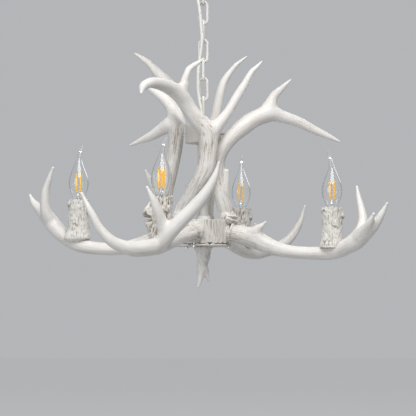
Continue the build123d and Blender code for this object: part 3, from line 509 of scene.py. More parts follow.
ANTLER = antler_finish()
BARK = bark_finish()
PAINTED_STEEL = painted_steel_finish("painted_steel", 1.07, 0.08)
CANOPY_PAINT = painted_steel_finish("canopy_paint", 1.24, 0.015)
HUB_PAINT = column_finish("hub_paint", (0.72, 0.685, 0.645), (0.66, 0.62, 0.575), (0.56, 0.515, 0.46))
ROD_PAINT = column_finish("rod_paint", (0.83, 0.82, 0.80), (0.79, 0.775, 0.75), (0.70, 0.68, 0.645))
CORD = cord_finish()
BUSH = plastic_finish("bush_plastic", (0.82, 0.81, 0.77), (0.74, 0.73, 0.69), 0.55)
CONNECTOR = plastic_finish("connector_plastic", (0.80, 0.78, 0.70), (0.72, 0.70, 0.62), 0.3)
HOLDER = plastic_finish("holder_plastic", (0.86, 0.85, 0.82), (0.79, 0.78, 0.75), 0.45)
ZINC = metal_finish("zinc_steel", (0.72, 0.72, 0.70), (0.55, 0.55, 0.54), 0.32)
CAP_METAL = metal_finish("cap_metal", (0.74, 0.72, 0.66), (0.60, 0.58, 0.52), 0.25)
# The last colour of each glass is the painted shade at its outline.
GLASS = glass_finish("clear_glass", 0.0, (0.985, 0.99, 0.99), (0.45, 0.49, 0.51))
STEM_GLASS = glass_finish("stem_glass", 0.12, (0.93, 0.95, 0.95), (0.70, 0.73, 0.74))
STICK = stick_finish()


# ---------------------------------------------------------------- mesh helpers
def linked(name, data):
    """A new object in the scene."""
    obj = bpy.data.objects.new(name, data)
    scene.collection.objects.link(obj)
    return obj


def made_mesh(obj):
    """What an object's modifiers or its curve make, as a plain mesh."""
    return bpy.data.meshes.new_from_object(obj.evaluated_get(bpy.context.evaluated_depsgraph_get()))


def dress(mesh, material):
    mesh.materials.clear()
    mesh.materials.append(material)


def new_piece(name, points, faces, material):
    """A smooth object from points in millimetres."""
    mesh = bpy.data.meshes.new(name)
    mesh.from_pydata((np.asarray(points, float) * MM).tolist(), [], faces)
    mesh.polygons.foreach_set("use_smooth", [True] * len(mesh.polygons))
    mesh.materials.append(material)
    mesh.validate()
    return linked(name, mesh)


def carry(obj, body, slot, *nodes):
    """Fixes a finished piece to its body and hides the nodes that it stands for; its slot is not used."""
    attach(obj, body)
    if nodes:
        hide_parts(*nodes)
    return obj


def wrap_faces(rings, sides, closed=False, start=0, caps=True):
    """Quads between rings of points that are numbered in order, and a cap at each open end."""
    faces = []
    for i in range(rings if closed else rings - 1):
        low, high = start + i * sides, start + ((i + 1) % rings) * sides
        for j in range(sides):
            k = (j + 1) % sides
            faces.append((low + j, low + k, high + k, high + j))
    if caps and not closed:
        faces.append(tuple(start + j for j in reversed(range(sides))))
        faces.append(tuple(start + (rings - 1) * sides + j for j in range(sides)))
    return faces


def turns_of(sides):
    return [2 * pi * j / sides for j in range(sides)]


def ring(centre, radius, z, sides):
    """Points round an upright axis."""
    return [(centre[0] + radius * cos(turn), centre[1] + radius * sin(turn), z) for turn in turns_of(sides)]


def lathe(profile, sides, centre=(0, 0, 0), closed=False):
    """Points and faces of a profile of (radius, z) turned about an upright axis."""
    points = [point for radius, z in profile for point in ring(centre, radius, centre[2] + z, sides)]
    return points, wrap_faces(len(profile), sides, closed)


def turned(name, profile, sides, material, body, slot, node, centre=(0, 0, 0)):
    """A hollow piece turned from a closed profile."""
    return carry(new_piece(name, *lathe(profile, sides, centre, True), material), body, slot, node)


def rounded(profile, radius, steps=4, closed=False):
    """The profile with each sharp corner replaced by an arc."""
    corners = [Vector(p) for p in profile]
    result = []
    for i, corner in enumerate(corners):
        before, after = corners[i - 1] - corner, corners[(i + 1) % len(corners)] - corner
        turn = before.angle(after, pi)
        if pi - turn < NEARLY_STRAIGHT or not closed and i in (0, len(corners) - 1):
            result.append(tuple(corner))
            continue
        reach = min(radius / tan(turn / 2), before.length * 0.45, after.length * 0.45)
        a, b = corner + before.normalized() * reach, corner + after.normalized() * reach
        for j in range(steps + 1):
            t = j / steps
            result.append(tuple(a.lerp(corner, t).lerp(corner.lerp(b, t), t)))
    return result


def joined(parts):
    """Several (points, faces) as one."""
    points, faces = [], []
    for more_points, more_faces in parts:
        start = len(points)
        points += [tuple(p) for p in more_points]
        faces += [tuple(start + i for i in face) for face in more_faces]
    return points, faces


def rod(start, end, radius, sides):
    """A straight round rod with slightly rounded ends."""
    away = (end - start).normalized()
    across = away.orthogonal().normalized()
    other = away.cross(across)
    edge = min(radius, (end - start).length) * 0.12
    stops = [(start, radius - edge), (start + away * edge, radius),
             (end - away * edge, radius), (end, radius - edge)]
    points = [centre + across * (r * cos(turn)) + other * (r * sin(turn))
              for centre, r in stops for turn in turns_of(sides)]
    return points, wrap_faces(len(stops), sides)


def smooth_path(stations, step):
    """Points (x, y, z, radius) on a smooth curve through the stations, about step apart."""
    p = np.array(stations, float)
    p = np.vstack([2 * p[0] - p[1], p, 2 * p[-1] - p[-2]])
    chunks = []
    for a, b, c, d in zip(p, p[1:], p[2:], p[3:]):
        gap = np.linalg.norm((c - b)[:3])
        before, after = np.linalg.norm((b - a)[:3]), np.linalg.norm((d - c)[:3])
        slope_b = ((b - a) / before * gap + (c - b)) / (before + gap) * gap
        slope_c = ((c - b) + (d - c) / after * gap) / (after + gap) * gap
        slope_b[3] = 0.5 * ((b - a)[3] / before + (c - b)[3] / gap) * gap
        slope_c[3] = 0.5 * ((c - b)[3] / gap + (d - c)[3] / after) * gap
        t = np.linspace(0, 1, max(2, int(gap / step) + 1))[:-1, None]
        chunks.append((2 * t**3 - 3 * t**2 + 1) * b + (t**3 - 2 * t**2 + t) * slope_b
                      + (3 * t**2 - 2 * t**3) * c + (t**3 - t**2) * slope_c)
    return np.vstack(chunks + [p[-2][None]])


class Limb:
    """A beam or a tine: its smooth centre line, its radii and a frame that doesn't twist."""

    def __init__(self, stations, tip_radius):
        self.path = smooth_path(stations, LIMB_STEP)
        self.path[:, 3] = np.maximum(self.path[:, 3], tip_radius)
        self.centre, self.radius = self.path[:, :3], self.path[:, 3]
        self.last = len(self.path) - 1
        along = np.gradient(self.centre, axis=0)
        self.along = along / np.linalg.norm(along, axis=1)[:, None]
        steps = np.linalg.norm(np.diff(self.centre, axis=0), axis=1)
        self.length = np.concatenate([[0], np.cumsum(steps)])
        across = np.cross(self.along[0], (0, 1, 0))
        if np.linalg.norm(across) < 0.2:
            across = np.cross(self.along[0], (1, 0, 0))
        rows = []
        for direction in self.along:
            across = across - direction * across.dot(direction)
            across = across / np.linalg.norm(across)
            rows.append(across)
        self.across = np.array(rows)
        self.other = np.cross(self.along, self.across)

    def ring(self, i, shrink=1.0, ahead=0.0):
        """Points round the limb at a place on its line, drawn in and moved ahead at the tip."""
        turns = np.linspace(0, 2 * pi, LIMB_SIDES, endpoint=False)
        round_it = np.outer(np.cos(turns), self.across[i]) + np.outer(np.sin(turns), self.other[i])
        return self.centre[i] + (round_it * shrink + self.along[i] * ahead) * self.radius[i]

    def tube(self):
        """Points and faces of the limb, with a round tip."""
        rings = [self.ring(i) for i in (*range(0, self.last, 2), self.last)]
        rings += [self.ring(self.last, cos(radians(rise)), sin(radians(rise))) for rise in (30, 60, 82)]
        return np.vstack(rings).tolist(), wrap_faces(len(rings), LIMB_SIDES)

    def nearest(self, points):
        """The place on the limb's line that is nearest to each point: coarsely first, then near that."""
        def closest(block, places):
            gap = np.linalg.norm(block[:, None, :] - self.centre[places], axis=2)
            return (gap - self.radius[places] * 0.15).argmin(axis=1)

        coarse, window = np.arange(0, self.last + 1, COARSE), np.arange(-COARSE, COARSE + 1)
        nearest = np.empty(len(points), int)
        for first in range(0, len(points), BLOCK):
            block = points[first:first + BLOCK]
            middle = coarse[closest(block, coarse)]
            choice = np.clip(middle[:, None] + window, 0, self.last)
            nearest[first:first + BLOCK] = choice[np.arange(len(choice)), closest(block, choice)]
        return nearest

    def measure(self, points):
        """For each point: its depth outside the limb's skin, and its place across and along the limb."""
        at = self.nearest(points)
        offset = points - self.centre[at]
        slide = np.einsum("ij,ij->i", offset, self.along[at])
        inner = (at > 0) & (at < self.last)
        offset = np.where(inner[:, None], offset - self.along[at] * slide[:, None], offset)
        depth = np.linalg.norm(offset, axis=1) - self.radius[at]
        u = np.einsum("ij,ij->i", offset, self.across[at])
        v = np.einsum("ij,ij->i", offset, self.other[at])
        return depth, u, v, self.length[at] + slide, self.radius[at]


def read(items, field, width, kind=float):
    """A field of a mesh's points or edges, one row each."""
    values = np.zeros(len(items) * width, kind)
    items.foreach_get(field, values)
    return values.reshape(-1, width)


def edges_of(mesh):
    return read(mesh.edges, "vertices", 2, int)


def coordinates(mesh):
    return read(mesh.vertices, "co", 3) / MM


def normals_of(mesh):
    return read(mesh.vertex_normals, "vector", 3)


def set_coordinates(mesh, points):
    mesh.vertices.foreach_set("co", (points * MM).ravel())
    mesh.update()


def relax(points, edges, share, rounds):
    """Moves each point towards the mean of its neighbours, by its own share."""
    count = np.bincount(edges.ravel(), minlength=len(points)).astype(float)
    count[count == 0] = 1
    for _ in range(rounds):
        total = np.empty_like(points)
        for axis in range(3):
            total[:, axis] = (np.bincount(edges[:, 0], points[edges[:, 1], axis], len(points))
                              + np.bincount(edges[:, 1], points[edges[:, 0], axis], len(points)))
        points = points + (total / count[:, None] - points) * share[:, None]
    return points


def remeshed(obj, voxel):
    """The object's mesh as one skin of even faces."""
    modifier = obj.modifiers.new("skin", "REMESH")
    modifier.mode = "VOXEL"
    modifier.voxel_size = voxel * MM
    modifier.use_smooth_shade = True
    old, obj.data = obj.data, made_mesh(obj)
    obj.modifiers.clear()
    bpy.data.meshes.remove(old)
    return obj.data


def store(mesh, name, kind, values):
    """A named attribute on the points of a mesh."""
    attribute = mesh.attributes.new(name, kind, "POINT")
    field = "vector" if kind == "FLOAT_VECTOR" else "value"
    attribute.data.foreach_set(field, np.asarray(values, np.float32).ravel())


def noise_at(points, seed=0.0):
    """Smooth noise, -1 to 1, at each row of points."""
    return np.array([noise.noise((p[0] + seed, p[1] - seed, p[2] + 2 * seed)) for p in points])


def smooth_step(value, low, high):
    t = np.clip((value - low) / (high - low), 0, 1)
    return t * t * (3 - 2 * t)


def hump(value, middle, width):
    """One at the middle, fading to nought to both sides."""
    return np.exp(-((value - middle) / width) ** 2)


# ---------------------------------------------------------------- antlers
def flatten(points, centre, radius, z):
    """Cuts a flat seat inside a circle, and a steep slope up from its edge."""
    reach = np.hypot(points[:, 0] - centre[0], points[:, 1] - centre[1])
    limit = z + np.maximum(0, reach - radius) * 2.2
    near = (reach < radius + 8) & (points[:, 2] < z + 45)
    points[:, 2] = np.where(near, np.minimum(points[:, 2], limit), points[:, 2])
    return points


def measured(limbs, points):
    """What each limb measures at the points, and the depths by themselves."""
    rows = [limb.measure(points) for limb in limbs]
    return rows, np.array([row[0] for row in rows])


def web_forks(mesh, limbs, web):
    """Draws an even skin onto the limbs, and rounds off the corners of their forks."""
    points, edges = coordinates(mesh), edges_of(mesh)
    even = np.full(len(points), 0.5)
    for _ in range(5):
        points = relax(points, edges, even, 2)
        set_coordinates(mesh, points)
        rows, depth = measured(limbs, points)
        for i in range(1, len(rows)):
            depth[i] += 4 * (1 - smooth_step(rows[i][3], 0, 1.6 * limbs[i].radius[0]))
        webbed = -web * np.log(np.exp(-depth / web).sum(axis=0))
        webbed[rows[0][3] < 1.0] = 0
        points = points - normals_of(mesh) * webbed[:, None]
    for _ in range(5):      # smooths the last unevenness and keeps the girth
        points = relax(relax(points, edges, even, 1), edges, -1.05 * even, 1)
    set_coordinates(mesh, points)
    return points


def roughness_along(kind, beam, s, trunk_end):
    """How rough a limb is at each place along it: the trunks are, the tines are nearly smooth."""
    if kind == "tip":
        return np.full(len(s), 0.6)
    if not beam:
        return np.full(len(s), 0.16)
    if kind == "upper":
        return 1 - 0.8 * smooth_step(s, *trunk_end)
    return 0.32 + 0.68 * (1 - smooth_step(s, 25, 110))


def grain_relief(kind, place, r, rough, seed, i):
    """A limb's grain: the rise of its skin in millimetres, its dark lines, and its pits and hollows."""
    wave = noise_at(place / (2.1, 2.1, 60.0), seed + i * 7.3)
    flute = noise_at(place / (5.5, 5.5, 80.0), seed + 11 + i * 5.7)
    crack = noise_at(place / (2.7, 2.7, 42.0), seed + 31 + i * 3.1)
    patch = smooth_step(noise_at(place / 30.0, seed + 60 + i), -0.3, 0.3)
    lines = hump(crack, 0, 0.075) * rough * (0.25 + 0.75 * patch)
    spots = noise_at(place / (2.4, 2.4, 4.2), seed + 90 + i)
    field = smooth_step(noise_at(place / 16.0, seed + 120), 0.2, 0.4)
    pits = smooth_step(spots, 0.56, 0.7) * rough * field
    size, height = LUMPS[kind]
    lumps = noise_at(place / size, seed + 150 + i)
    rise = wave * (0.66 * rough + 0.03) + flute * (0.75 * rough + 0.05) - lines * 0.6 - pits * 0.8
    hollows = 0.9 * pits + np.clip(-wave - 0.1, 0, 0.5) * rough * 0.35
    return rise + lumps * height * smooth_step(r, 2.5, 8), lines, hollows


def burr_relief(place, s, facing, seed):
    """The burr round an upper antler's foot: its knobs, its ragged skirt and the cracks in it."""
    crown = hump(s, 7.0, 4.6)
    knobs = noise_at(place / (3.4, 3.4, 8.0), seed + 200)
    skirt = hump(s, 7.6, 3.2) * np.clip(facing, 0, None) * (0.9 + 0.25 * knobs)
    return crown * (1.3 * np.abs(knobs) - 0.2) + skirt, crown * hump(knobs, 0, 0.08) * 0.3


def root_relief(place, s, seed):
    """The lip round a lower antler's root, and the rough neck behind it."""
    lip = hump(s, 2.2, 1.7)
    neck = smooth_step(s, 2.5, 5.0) * (1 - smooth_step(s, 9, 17))
    rise = lip * (3.3 + 1.2 * noise_at(place / (6.0, 6.0, 6.0), seed + 220)) - neck * 1.3
    return rise, neck * (0.22 + 0.4 * np.abs(noise_at(place / (2.2, 2.2, 5.0), seed + 240)))


def make_antler(name, limbs, seed, kind, seats=(), flare=(0, 0, 0), trunk_end=(0, 1)):
    """A beam and its tines in one skin, webbed at the forks and grained along each limb."""
    limbs = [Limb(stations, TIP_RADIUS[kind]) for stations in limbs]
    obj = new_piece(name, *joined([limb.tube() for limb in limbs]), ANTLER)
    mesh = remeshed(obj, ANTLER_VOXEL)
    points = web_forks(mesh, limbs, WEB[kind])
    normals = normals_of(mesh)
    rows, depth = measured(limbs, points)
    weight = np.exp(-((depth - depth.min(axis=0)) / 2.6) ** 2)
    weight /= weight.sum(axis=0)
    lift, groove, trunk = np.zeros((3, len(points)))
    for i, row in enumerate(rows):
        near = weight[i] > 0.02
        share = weight[i][near]
        u, v, s, r = (measure[near] for measure in row[1:])
        to_tip = smooth_step(limbs[i].length[-1] - s, *TIP_FADE[kind])
        rough = roughness_along(kind, i == 0, s, trunk_end) * to_tip * smooth_step(r, 2.5, 7)
        place = np.column_stack([u, v, s])
        rise, lines, hollows = grain_relief(kind, place, r, rough, seed, i)
        more_rise, more_lines = 0, 0
        if kind == "upper" and i == 0:
            more_rise, more_lines = burr_relief(place, s, normals[near] @ np.array(flare, float), seed)
        if kind == "lower" and i == 0:
            more_rise, more_lines = root_relief(place, s, seed)
        lift[near] += (rise + more_rise) * share
        groove[near] += ((lines + more_lines) * 0.8 + hollows) * share
        trunk[near] += rough * share
    points = points + normals * lift[:, None]
    for seat in seats:
        points = flatten(points, *seat)
    set_coordinates(mesh, points)
    best = depth.argmin(axis=0)
    _, u, v, s, _ = np.array(rows)[best, :, np.arange(len(points))].T
    store(mesh, "grain", "FLOAT_VECTOR", np.column_stack([u + seed, v, s + best * 300.0]))
    store(mesh, "groove", "FLOAT", np.clip(groove, 0, 1))
    store(mesh, "trunk", "FLOAT", trunk)
    dress(mesh, ANTLER)
    return obj


for number, side in enumerate(SIDES):
    x, y, z = cup_place(side)
    seats = [((x, y), 20.5, z)]
    if side == "left":
        seats.append((BURR_SEATS["left"][:2], 17, SADDLE_Z))
    lower = make_antler(f"antler_lower_{side}", LOWER_ANTLERS[side], 11.7 + 5.3 * number, "lower", seats)
    carry(lower, "fixture", "antler_resin", f"lower_antler_{side}")
    upper = make_antler(f"antler_upper_{side}", UPPER_ANTLERS[side], 71.9 + 4.1 * number, "upper",
                        flare=BURR_FLARE[side], trunk_end=TRUNK_END[side])
    carry(upper, "fixture", "antler_resin", f"upper_antler_{side}")
carry(make_antler("antler_tip_below", FINIAL, 151.0, "tip"), "fixture", "antler_resin", "finial")


# ---------------------------------------------------------------- candle cups
def bark_relief(spots, seed, cell, length):
    """How far bark stands out at each spot (millimetres), and how deep in a crack each spot is."""
    sway = noise_at(spots / (9.0, 9.0, 12.0), seed + 5)[:, None] * (1.3, 1.3, 0)
    cells = (spots + sway) / (cell, cell, length)
    ridge = 1 - 2 * np.abs(noise_at(cells, seed))
    knots = noise_at(spots / (4.2, 4.2, 5.5), seed + 40)
    fine = noise_at((spots + sway) / (cell * 0.5, cell * 0.5, length * 0.35), seed + 70)
    crack = np.clip(0.55 - ridge, 0, 1)
    return 0.95 * ridge + 0.9 * knots + 0.45 * fine - 0.8, crack


def flake_lift(turn, z, flakes):
    """Sheets of bark that lift off the wall from root to sharp lip, and a painted shade in the colour just
    beyond each lip.
    """
    lift, shade = np.zeros_like(z), np.zeros_like(z)
    for azimuth, root, lip, width, size in flakes:
        gap = (turn - radians(azimuth) + pi) % (2 * pi) - pi
        wave = 1.6 * np.sin(gap * 7 + azimuth) + 1.0 * np.sin(gap * 17 + root)
        across = 1 - smooth_step(np.abs(gap), radians(width) * 0.55, radians(width))
        down = (root - z) / (root - lip - wave)
        inside = smooth_step(down, 0, 0.9) * (1 - smooth_step(down, 1.0, 1.12))
        lift += size * inside * across
        # painted shade: a dark band just past the lip, where the lifted flake would shade the wall
        shade += across * smooth_step(down, 1.0, 1.08) * (1 - smooth_step(down, 1.12, 1.4)) * 0.4
    return lift, shade


def make_cup(side, seed):
    """A broken-off stump: a rough wall with a foot over the beam, a ragged rim and a bore."""
    cx, cy, base = cup_place(side)
    heights, radii = np.array(CUP_PROFILE, float).T
    turns = np.linspace(0, 2 * pi, CUP_COLUMNS, endpoint=False)

    def round_noise(radius, level):
        return noise_at([(radius * cos(turn), radius * sin(turn), level) for turn in turns])

    def wall_ring(radius, height):
        return np.column_stack([cx + radius * np.cos(turns), cy + radius * np.sin(turns), base + height])

    rim = CUP_HEIGHT - 2.2 + (round_noise(2.4, seed) * 3.2 + round_noise(7.5, seed + 9) * 1.8)
    rim = np.clip(rim, CUP_HEIGHT - 7, CUP_HEIGHT)
    wall_z = np.linspace(0, 1, CUP_ROWS)[:, None] * rim
    beside = np.abs(np.sin(turns - radians(BEAM_HEADING[side]))) ** 2
    shares = np.linspace(1, 0, FOOT_ROWS, endpoint=False)[:, None]
    z = np.vstack([-FOOT_DROP[side] * shares * beside, wall_z])
    r = np.vstack([radii[0] - 8.2 * beside * shares ** 1.5, np.interp(wall_z, heights, radii)])
    turn = np.repeat(turns[None, :], len(z), axis=0)
    mean = CUP_MEAN_RADIUS
    spots = np.stack([mean * np.cos(turn), mean * np.sin(turn), z], axis=2).reshape(-1, 3)
    relief, crack = (field.reshape(z.shape) for field in bark_relief(spots, seed, 1.8, 11.5))
    lift, shade = flake_lift(turn, z, FLAKES[side])
    relief *= 1 - 0.5 * (z < 0)
    r = r + relief * BARK_DEPTH[side] + lift
    outer = np.stack([cx + r * np.cos(turn), cy + r * np.sin(turn), base + z], axis=2).reshape(-1, 3)

    inner = [wall_ring(r[-1] * (1 - share) + (CUP_BORE + 0.25) * share, rim - 0.3)
             for share in (0.35, 0.75)]
    for depth in (2.5, 6, 12, 22):
        inner.append(wall_ring(CUP_BORE + 0.25 * round_noise(3, depth * 0.3 + seed), rim - depth))
    inner = np.vstack(inner + [wall_ring(CUP_BORE, np.full(CUP_COLUMNS, CUP_FLOOR))])
    points = np.vstack([outer, inner])
    faces = wrap_faces(len(points) // CUP_COLUMNS, CUP_COLUMNS)
    obj = new_piece(f"cup_{side}", points, faces, BARK)
    spots = np.vstack([spots, inner - (cx, cy, base)])
    # the painted shade below the flake lips is added to the cracks here, so the stored groove darkens both
    crack = np.clip(crack * 0.95 * BARK_DEPTH[side] + shade, 0, 1)
    store(obj.data, "grain", "FLOAT_VECTOR", spots + seed * 10)
    store(obj.data, "groove", "FLOAT", np.concatenate([crack.ravel(), np.full(len(inner), 0.15)]))
    return carry(obj, "fixture", "bark_resin", f"candle_cup_{side}")


for number, side in enumerate(SIDES):
    make_cup(side, 3.1 + 2.7 * number)


# ---------------------------------------------------------------- hubs and column
def make_bark_body(node, name, radius, relief_scale, cell, seed):
    """A node's shape with an upright bark grain on its round wall."""
    obj = linked(name, bpy.data.objects[node].data.copy())
    weld = obj.modifiers.new("weld", "WELD")
    weld.merge_threshold = 0.00001
    mesh = remeshed(obj, BARK_VOXEL)
    points, edges = coordinates(mesh), edges_of(mesh)
    reach = np.hypot(points[:, 0], points[:, 1])
    on_wall = np.abs(reach - radius) < 1.2
    points[on_wall, :2] *= (radius / reach[on_wall])[:, None]
    points = relax(points, edges, np.full(len(points), 0.3), 3)
    set_coordinates(mesh, points)
    normals = normals_of(mesh)
    outside = smooth_step(reach, radius - 9, radius - 4)
    flat = smooth_step(np.abs(normals[:, 2]), 0.5, 0.9)
    relief, crack = bark_relief(points, seed, cell, 40.0)
    lift = relief * 0.5 * relief_scale * outside * (1 - 0.6 * flat)
    seam = hump(points[:, 2], LOWER_HUB_BOTTOM_Z, 1.6)
    dashes = smooth_step(noise_at(points / (5.0, 5.0, 9.0), seed + 90), -0.1, 0.2) * seam * outside
    lift -= dashes * 0.8
    crack = np.clip(crack * 0.75 + dashes, 0, 1)
    points = points + normals * lift[:, None]
    set_coordinates(mesh, points)
    store(mesh, "grain", "FLOAT_VECTOR", points)
    store(mesh, "groove", "FLOAT", crack * outside * (1 - 0.5 * flat))
    dress(mesh, BARK)
    return carry(obj, "fixture", "bark_resin", node)


make_bark_body("lower_hub", "hub_lower_drum", LOWER_HUB_RADIUS, 0.8, 1.9, 23.0)
make_bark_body("hub_bottom_plate", "hub_lower_plate", LOWER_HUB_RADIUS, 1.8, 3.4, 29.0)

hub_profile = rounded([
    (ROD_RADIUS + 0.3, UPPER_HUB_BOTTOM_Z), (UPPER_HUB_RADIUS, UPPER_HUB_BOTTOM_Z),
    (UPPER_HUB_RADIUS, UPPER_HUB_TOP_Z), (RECESS_RADIUS, UPPER_HUB_TOP_Z), (RECESS_RADIUS, RECESS_Z),
    (ROD_RADIUS + 0.3, RECESS_Z),
], 1.4, closed=True)
turned("hub_upper_drum", hub_profile, 96, HUB_PAINT, "fixture", "column_paint", "upper_hub")

rod_profile = [(5, ROD_BOTTOM_Z), (ROD_RADIUS - 0.5, ROD_BOTTOM_Z), (ROD_RADIUS, ROD_BOTTOM_Z + 0.5),
               (ROD_RADIUS, RECESS_Z - 0.5), (ROD_RADIUS - 0.5, RECESS_Z), (5, RECESS_Z)]
turned("column_tube", rod_profile, 64, ROD_PAINT, "fixture", "column_paint", "centre_rod")

collar_profile = [(ROD_RADIUS + 0.05, 0), (13.6, 0), (14, 0.6), (14, 2.6), (13.7, 3.4), (13.0, 4.9),
                  (12.4, 6.2), (11.8, 7.1), (11.2, 7.8), (10.6, 8), (ROD_RADIUS + 0.05, 8)]
turned("column_collar", collar_profile, 64, ROD_PAINT, "fixture", "column_paint", "hub_collar",
       centre=(0, 0, LOWER_HUB_TOP_Z))


# ---------------------------------------------------------------- chain, eyes and canopy
def link_tree():
    """A ring of round wire drawn out to a length."""
    tree = bpy.data.node_groups.new("wire_link", "GeometryNodeTree")
    for name in ("Wire radius", "Length", "Width", "Turn", "Height"):
        tree.interface.new_socket(name, in_out="INPUT", socket_type="NodeSocketFloat")
    tree.interface.new_socket("Finish", in_out="INPUT", socket_type="NodeSocketMaterial")
    tree.interface.new_socket("Geometry", in_out="OUTPUT", socket_type="NodeSocketGeometry")
    g = Nodes(tree)
    given = g.add("NodeGroupInput").outputs
    wire, length, width, turn, height, finish = (Value(g, socket) for socket in given[:6])

    y = g.value("ShaderNodeSeparateXYZ", {0: g.value("GeometryNodeInputPosition")}, "Y")
    ring = g.value("GeometryNodeCurvePrimitiveCircle", {"Resolution": 96, "Radius": width * 0.5 - wire})
    stretch = g.value("ShaderNodeCombineXYZ", {"Y": g.math("SIGN", y) * ((length - width) * 0.5)})
    drawn = g.value("GeometryNodeSetPosition", {"Geometry": ring, "Offset": stretch})
    line = g.value("GeometryNodeResampleCurve", {"Curve": drawn, "Count": 150})
    section = g.value("GeometryNodeCurvePrimitiveCircle", {"Resolution": 20, "Radius": wire})
    skin = g.value("GeometryNodeCurveToMesh", {"Curve": line, "Profile Curve": section})

    upright = g.value("ShaderNodeCombineXYZ", {"X": pi / 2, "Z": turn})
    raised = g.value("ShaderNodeCombineXYZ", {"Z": height})
    skin = g.value("GeometryNodeTransform", {"Geometry": skin, "Rotation": upright, "Translation": raised})
    skin = g.value("GeometryNodeSetShadeSmooth", {"Geometry": skin})
    skin = g.value("GeometryNodeRealizeInstances", {"Geometry": skin})
    skin = g.value("GeometryNodeSetMaterial", {"Geometry": skin, "Material": finish})
    g.add("NodeGroupOutput", {"Geometry": skin})
    return tree


WIRE_LINK = link_tree()


def wire_link(name, length, width, turn, height):
    """One link or eye from the tree, as a plain mesh."""
    obj = linked(name, bpy.data.meshes.new(name))
    modifier = obj.modifiers.new("wire_link", "NODES")
    modifier.node_group = WIRE_LINK
    values = {"Wire radius": WIRE_RADIUS * MM, "Length": length * MM, "Width": width * MM, "Turn": turn,
              "Height": height * MM, "Finish": PAINTED_STEEL}
    for item in WIRE_LINK.interface.items_tree:
        if item.item_type == "SOCKET" and item.in_out == "INPUT":
            modifier[item.identifier] = values[item.name]
    mesh = made_mesh(obj)
    obj.modifiers.clear()
    obj.data = mesh
    return obj


def make_eye(name, z, collar, body, node):
    """A closed wire eye on a turned collar."""
    width = 2 * (EYE_RADIUS + WIRE_RADIUS)
    eye = wire_link(f"{name}_wire", width, width, 0.0, z)
    wire = coordinates(eye.data).tolist(), [tuple(face.vertices) for face in eye.data.polygons]
    bpy.data.objects.remove(eye)
    piece = new_piece(name, *joined([wire, lathe(collar, 56)]), PAINTED_STEEL)
    carry(piece, body, "painted_steel", node)


for number in range(LINK_COUNT):
    middle = FIRST_LINK_Z - number * LINK_STEP - (LINK_LENGTH / 2 - WIRE_RADIUS)
    turn = pi / 2 if number % 2 == 0 else 0.0
    one = wire_link(f"link_{number + 1}", LINK_LENGTH, LINK_WIDTH, turn, middle)
    carry(one, f"chain_link_{number + 1}", "painted_steel", f"chain_link_{number + 1}")

top_collar = rounded([
    (0.01, RECESS_Z), (RECESS_RADIUS - 0.3, RECESS_Z), (RECESS_RADIUS - 0.3, RECESS_Z + 3),
    (6.5, RECESS_Z + 3), (6, RECESS_Z + 4.5), (4.6, TOP_EYE_Z - EYE_RADIUS + 0.4),
    (0.01, TOP_EYE_Z - EYE_RADIUS + 1),
], 0.8)
make_eye("loop_top", TOP_EYE_Z, top_collar, "fixture", "top_loop")

low_collar = rounded([
    (0.01, CANOPY_BOTTOM_Z - 10.5), (5.2, CANOPY_BOTTOM_Z - 10.2), (6.4, CANOPY_BOTTOM_Z - 8),
    (11, CANOPY_BOTTOM_Z - 8), (11, CANOPY_BOTTOM_Z - 0.02), (0.01, CANOPY_BOTTOM_Z - 0.02),
], 0.9)
make_eye("loop_canopy", CANOPY_EYE_Z, low_collar, "ceiling", "canopy_loop")

outer_line = rounded([(5.05, CANOPY_BOTTOM_Z), (26, CANOPY_BOTTOM_Z), (51, -19), (60, -4), (60, 0)], 7, 8)
inner_line = rounded([(5.05, CANOPY_BOTTOM_Z + 1.5), (24.5, CANOPY_BOTTOM_Z + 1.5), (49.5, -17.5),
                      (58.5, -4), (58.5, 0)], 6, 8)
turned("canopy_bowl", outer_line + [(59.2, 0.0)] + inner_line[::-1], 120, CANOPY_PAINT,
       "ceiling", "painted_steel", "canopy")


# ---------------------------------------------------------------- supply cord
def smooth_route(route):
    """The cord's line: a NURBS spline with the route's points as its control points."""
    curve = bpy.data.curves.new("cord_line", "CURVE")
    curve.dimensions = "3D"
    curve.resolution_u = 12
    spline = curve.splines.new("NURBS")
    spline.points.add(len(route) - 1)
    for point, place in zip(spline.points, route):
        point.co = (*(Vector(place) * MM), 1)
    spline.order_u = 3
    spline.use_endpoint_u = True
    carrier = linked("cord_line", curve)
    mesh = made_mesh(carrier)
    line = coordinates(mesh)
    bpy.data.objects.remove(carrier)
    bpy.data.meshes.remove(mesh)
    return line


def cut_at(line, high, low):
    """The part of a falling line between two levels, with a point on each level."""
    z = line[:, 2]
    inside = line[(z < high - 0.1) & (z > low + 0.1)]
    ends = [np.array([np.interp(-level, -z, line[:, k]) for k in range(3)]) for level in (high, low)]
    return np.vstack([ends[0][None], inside, ends[1][None]])


def cord_piece(name, line):
    """A round tube along a line, its end rings level so that two pieces meet."""
    turns = np.linspace(0, 2 * pi, CORD_SIDES, endpoint=False)
    along = np.gradient(line, axis=0)
    along /= np.linalg.norm(along, axis=1)[:, None]
    along[0] = along[-1] = (0, 0, -1)
    rings = []
    for centre, direction in zip(line, along):
        across = np.cross(direction, (0, 1, 0))
        across /= np.linalg.norm(across)
        round_it = np.outer(np.cos(turns), across) + np.outer(np.sin(turns), np.cross(direction, across))
        rings.append(centre + CORD_RADIUS * round_it)
    return new_piece(name, np.vstack(rings), wrap_faces(len(rings), CORD_SIDES), CORD)


cord_line = smooth_route(CORD_ROUTE)
crowns = [FIRST_CROWN_Z - LINK_STEP * i for i in range(LINK_COUNT + 1)]
cuts = [CORD_ROUTE[0][2]] + [(a + b) / 2 for a, b in zip(crowns, crowns[1:])] + [CORD_ROUTE[-1][2]]
for number, crown in enumerate(crowns):
    piece = cord_piece(f"cord_{number + 1}", cut_at(cord_line, cuts[number], cuts[number + 1]))
    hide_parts("power_cord")
    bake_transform(piece)


